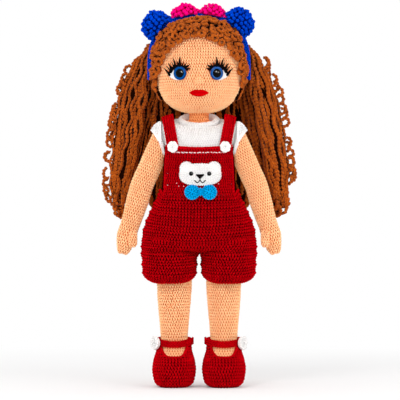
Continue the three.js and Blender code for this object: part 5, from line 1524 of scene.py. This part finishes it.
def shoe_strap_pieces(name, sign):
    strap = Piece()
    turn = np.linspace(math.radians(20), -math.radians(200), 60)
    spoke = np.stack([np.cos(turn), np.sin(turn), 0 * turn], 1)
    axis = np.array([sign * FOOT_X, 0, 0.0])
    sag = (0.9 - 3.0 * np.maximum(0, -np.sin(turn)) ** 2)[:, None] * UP

    def line(radius, z):
        return axis + spoke * radius + sag + [0, 0, z]

    sheet(strap, *(np.stack([line(radius, z)[::-1] for z in np.linspace(41.6, 47.2, 5)], 0) for radius in (18.5, 17.0)))
    for z in (42.2, 44.5, 46.8):
        chain(strap, line(18.75, z), spoke, 2.7, 2.4, 0.24)
    strap.make(f"{name}_shoe_strap_crochet", "torso", "red_yarn", [f"{name}_shoe_strap"])

    turn = 0.56
    out = np.array([sign * math.cos(turn), -math.sin(turn), 0.0])
    place = upright(axis + out * 19.8 + [0, 0, 43.6], out)
    button(f"{name}_shoe_flower_button", place, 1.22, f"{name}_shoe_button")


# Pieces inside that keep the part's own shapes

def dress_inner_nodes():
    filling = yarn("stuffing_fibre", (240, 238, 232), (214, 210, 202), 0.3)
    wood = hard("dowel_wood", (206, 168, 112), (170, 128, 78), 0.5, 120, 0.3)
    board = hard("insole_board", (190, 180, 166), (160, 150, 138), 0.8, 700, 0.3)
    plastic = hard("washer_plastic", (232, 232, 228), (214, 214, 210), 0.35, 500)
    for name, mat in (
        ("body_stuffing", filling), ("head_stuffing", filling), ("neck_dowel", wood), ("left_insole", board),
        ("right_insole", board), ("left_eye_washer", plastic), ("right_eye_washer", plastic),
    ):
        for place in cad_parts[name].material_slots:
            place.link = "OBJECT"
            place.material = mat


head_pieces()
hair_pieces()
fringe_piece()
headband_pieces()
trunk_pieces()
arm_pieces()
shorts_piece()
bib_piece()
strap_pieces()
bear_pieces()
for name, sign in SIDES.items():
    leg_piece(name, sign)
    shoe_piece(name, sign)
    shoe_strap_pieces(name, sign)
dress_inner_nodes()


# Camera, light and floor

def make_camera():
    data = bpy.data.cameras.new("camera")
    camera = new_object("camera", data)
    distance, field = 3.0, 0.4
    camera.location = (0.001, -distance + MIDDLE_Y * METRE, 0.186)
    camera.rotation_euler = (math.pi / 2, 0, 0)
    data.sensor_width = 36
    data.lens = 36 * distance / field
    data.clip_end = 50
    bpy.context.scene.camera = camera


def soft_lamp(name, place, aim, size, power, lights=True):
    """An area lamp aimed at a height of the doll. One that doesn't light is only seen mirrored in what is glossy."""
    data = bpy.data.lights.new(name, "AREA")
    data.shape, data.size, data.energy = "SQUARE", size, power
    lamp = new_object(name, data)
    lamp.visible_diffuse = lights
    lamp.location = place
    lamp.rotation_euler = (Vector((0, 0, aim)) - Vector(place)).to_track_quat("-Z", "Y").to_euler()


def seen_directly(tree):
    rays = tree.add("LightPath").outputs
    either = tree.math("MAXIMUM", rays["Is Camera Ray"], rays["Is Glossy Ray"])
    return tree.math("MAXIMUM", either, rays["Is Transmission Ray"])


def blend(tree, amount, first, second, output):
    mix = tree.add("MixShader", {0: amount, 1: first.outputs[0], 2: second.outputs[0]})
    tree.set(tree.nodes[output], {"Surface": mix.outputs[0]})


def make_world(level):
    """Light from all round, with a white that is seen behind everything."""
    world = bpy.data.worlds.new("studio")
    bpy.context.scene.world = world
    tree = Tree(world)
    light, seen = tree.nodes["Background"], tree.add("Background")
    for shade, strength in ((light, level), (seen, 1.0)):
        tree.set(shade, {"Color": (1, 1, 1, 1), "Strength": strength})
    blend(tree, seen_directly(tree), light, seen, "World Output")


def make_floor():
    """A pale floor that turns into the white round it."""
    mesh = bpy.data.meshes.new("floor")
    size = 6.0
    mesh.from_pydata([(-size, -size, 0), (size, -size, 0), (size, size, 0), (-size, size, 0)], [], [(0, 1, 2, 3)])
    floor = new_object("floor", mesh)
    mat = bpy.data.materials.new("pale_floor")
    tree = Tree(mat)
    shader = tree.nodes["Principled BSDF"]
    tree.set(shader, {"Base Color": (0.95, 0.945, 0.945, 1), "Roughness": 0.9, "Specular IOR Level": 0.1})
    away = tree.add("VectorMath", {0: tree.place()}, operation="LENGTH").outputs["Value"]
    far = tree.add("MapRange", {"From Min": 0.3, "From Max": 0.8, "To Min": 0.15, "Value": away}).outputs[0]
    amount = tree.math("MULTIPLY", far, seen_directly(tree))
    blend(tree, amount, shader, tree.add("Emission", {"Strength": 1.0}), "Material Output")
    mesh.materials.append(mat)


make_camera()
CHEST, FACE = 0.22, 0.3  # heights that the lamps aim at, in metres
soft_lamp("key", (-0.5, -1.5, 1.05), CHEST, 0.6, 9.0)
soft_lamp("side", (1.0, -1.35, 0.7), CHEST, 0.5, 4.3)
soft_lamp("front_box", (0.25, -1.3, 1.0), FACE, 0.62, 150, False)
soft_lamp("side_box", (1.15, -0.9, 0.65), FACE, 0.4, 44, False)
make_world(0.87)
make_floor()
bpy.context.scene.view_settings.view_transform = "Standard"
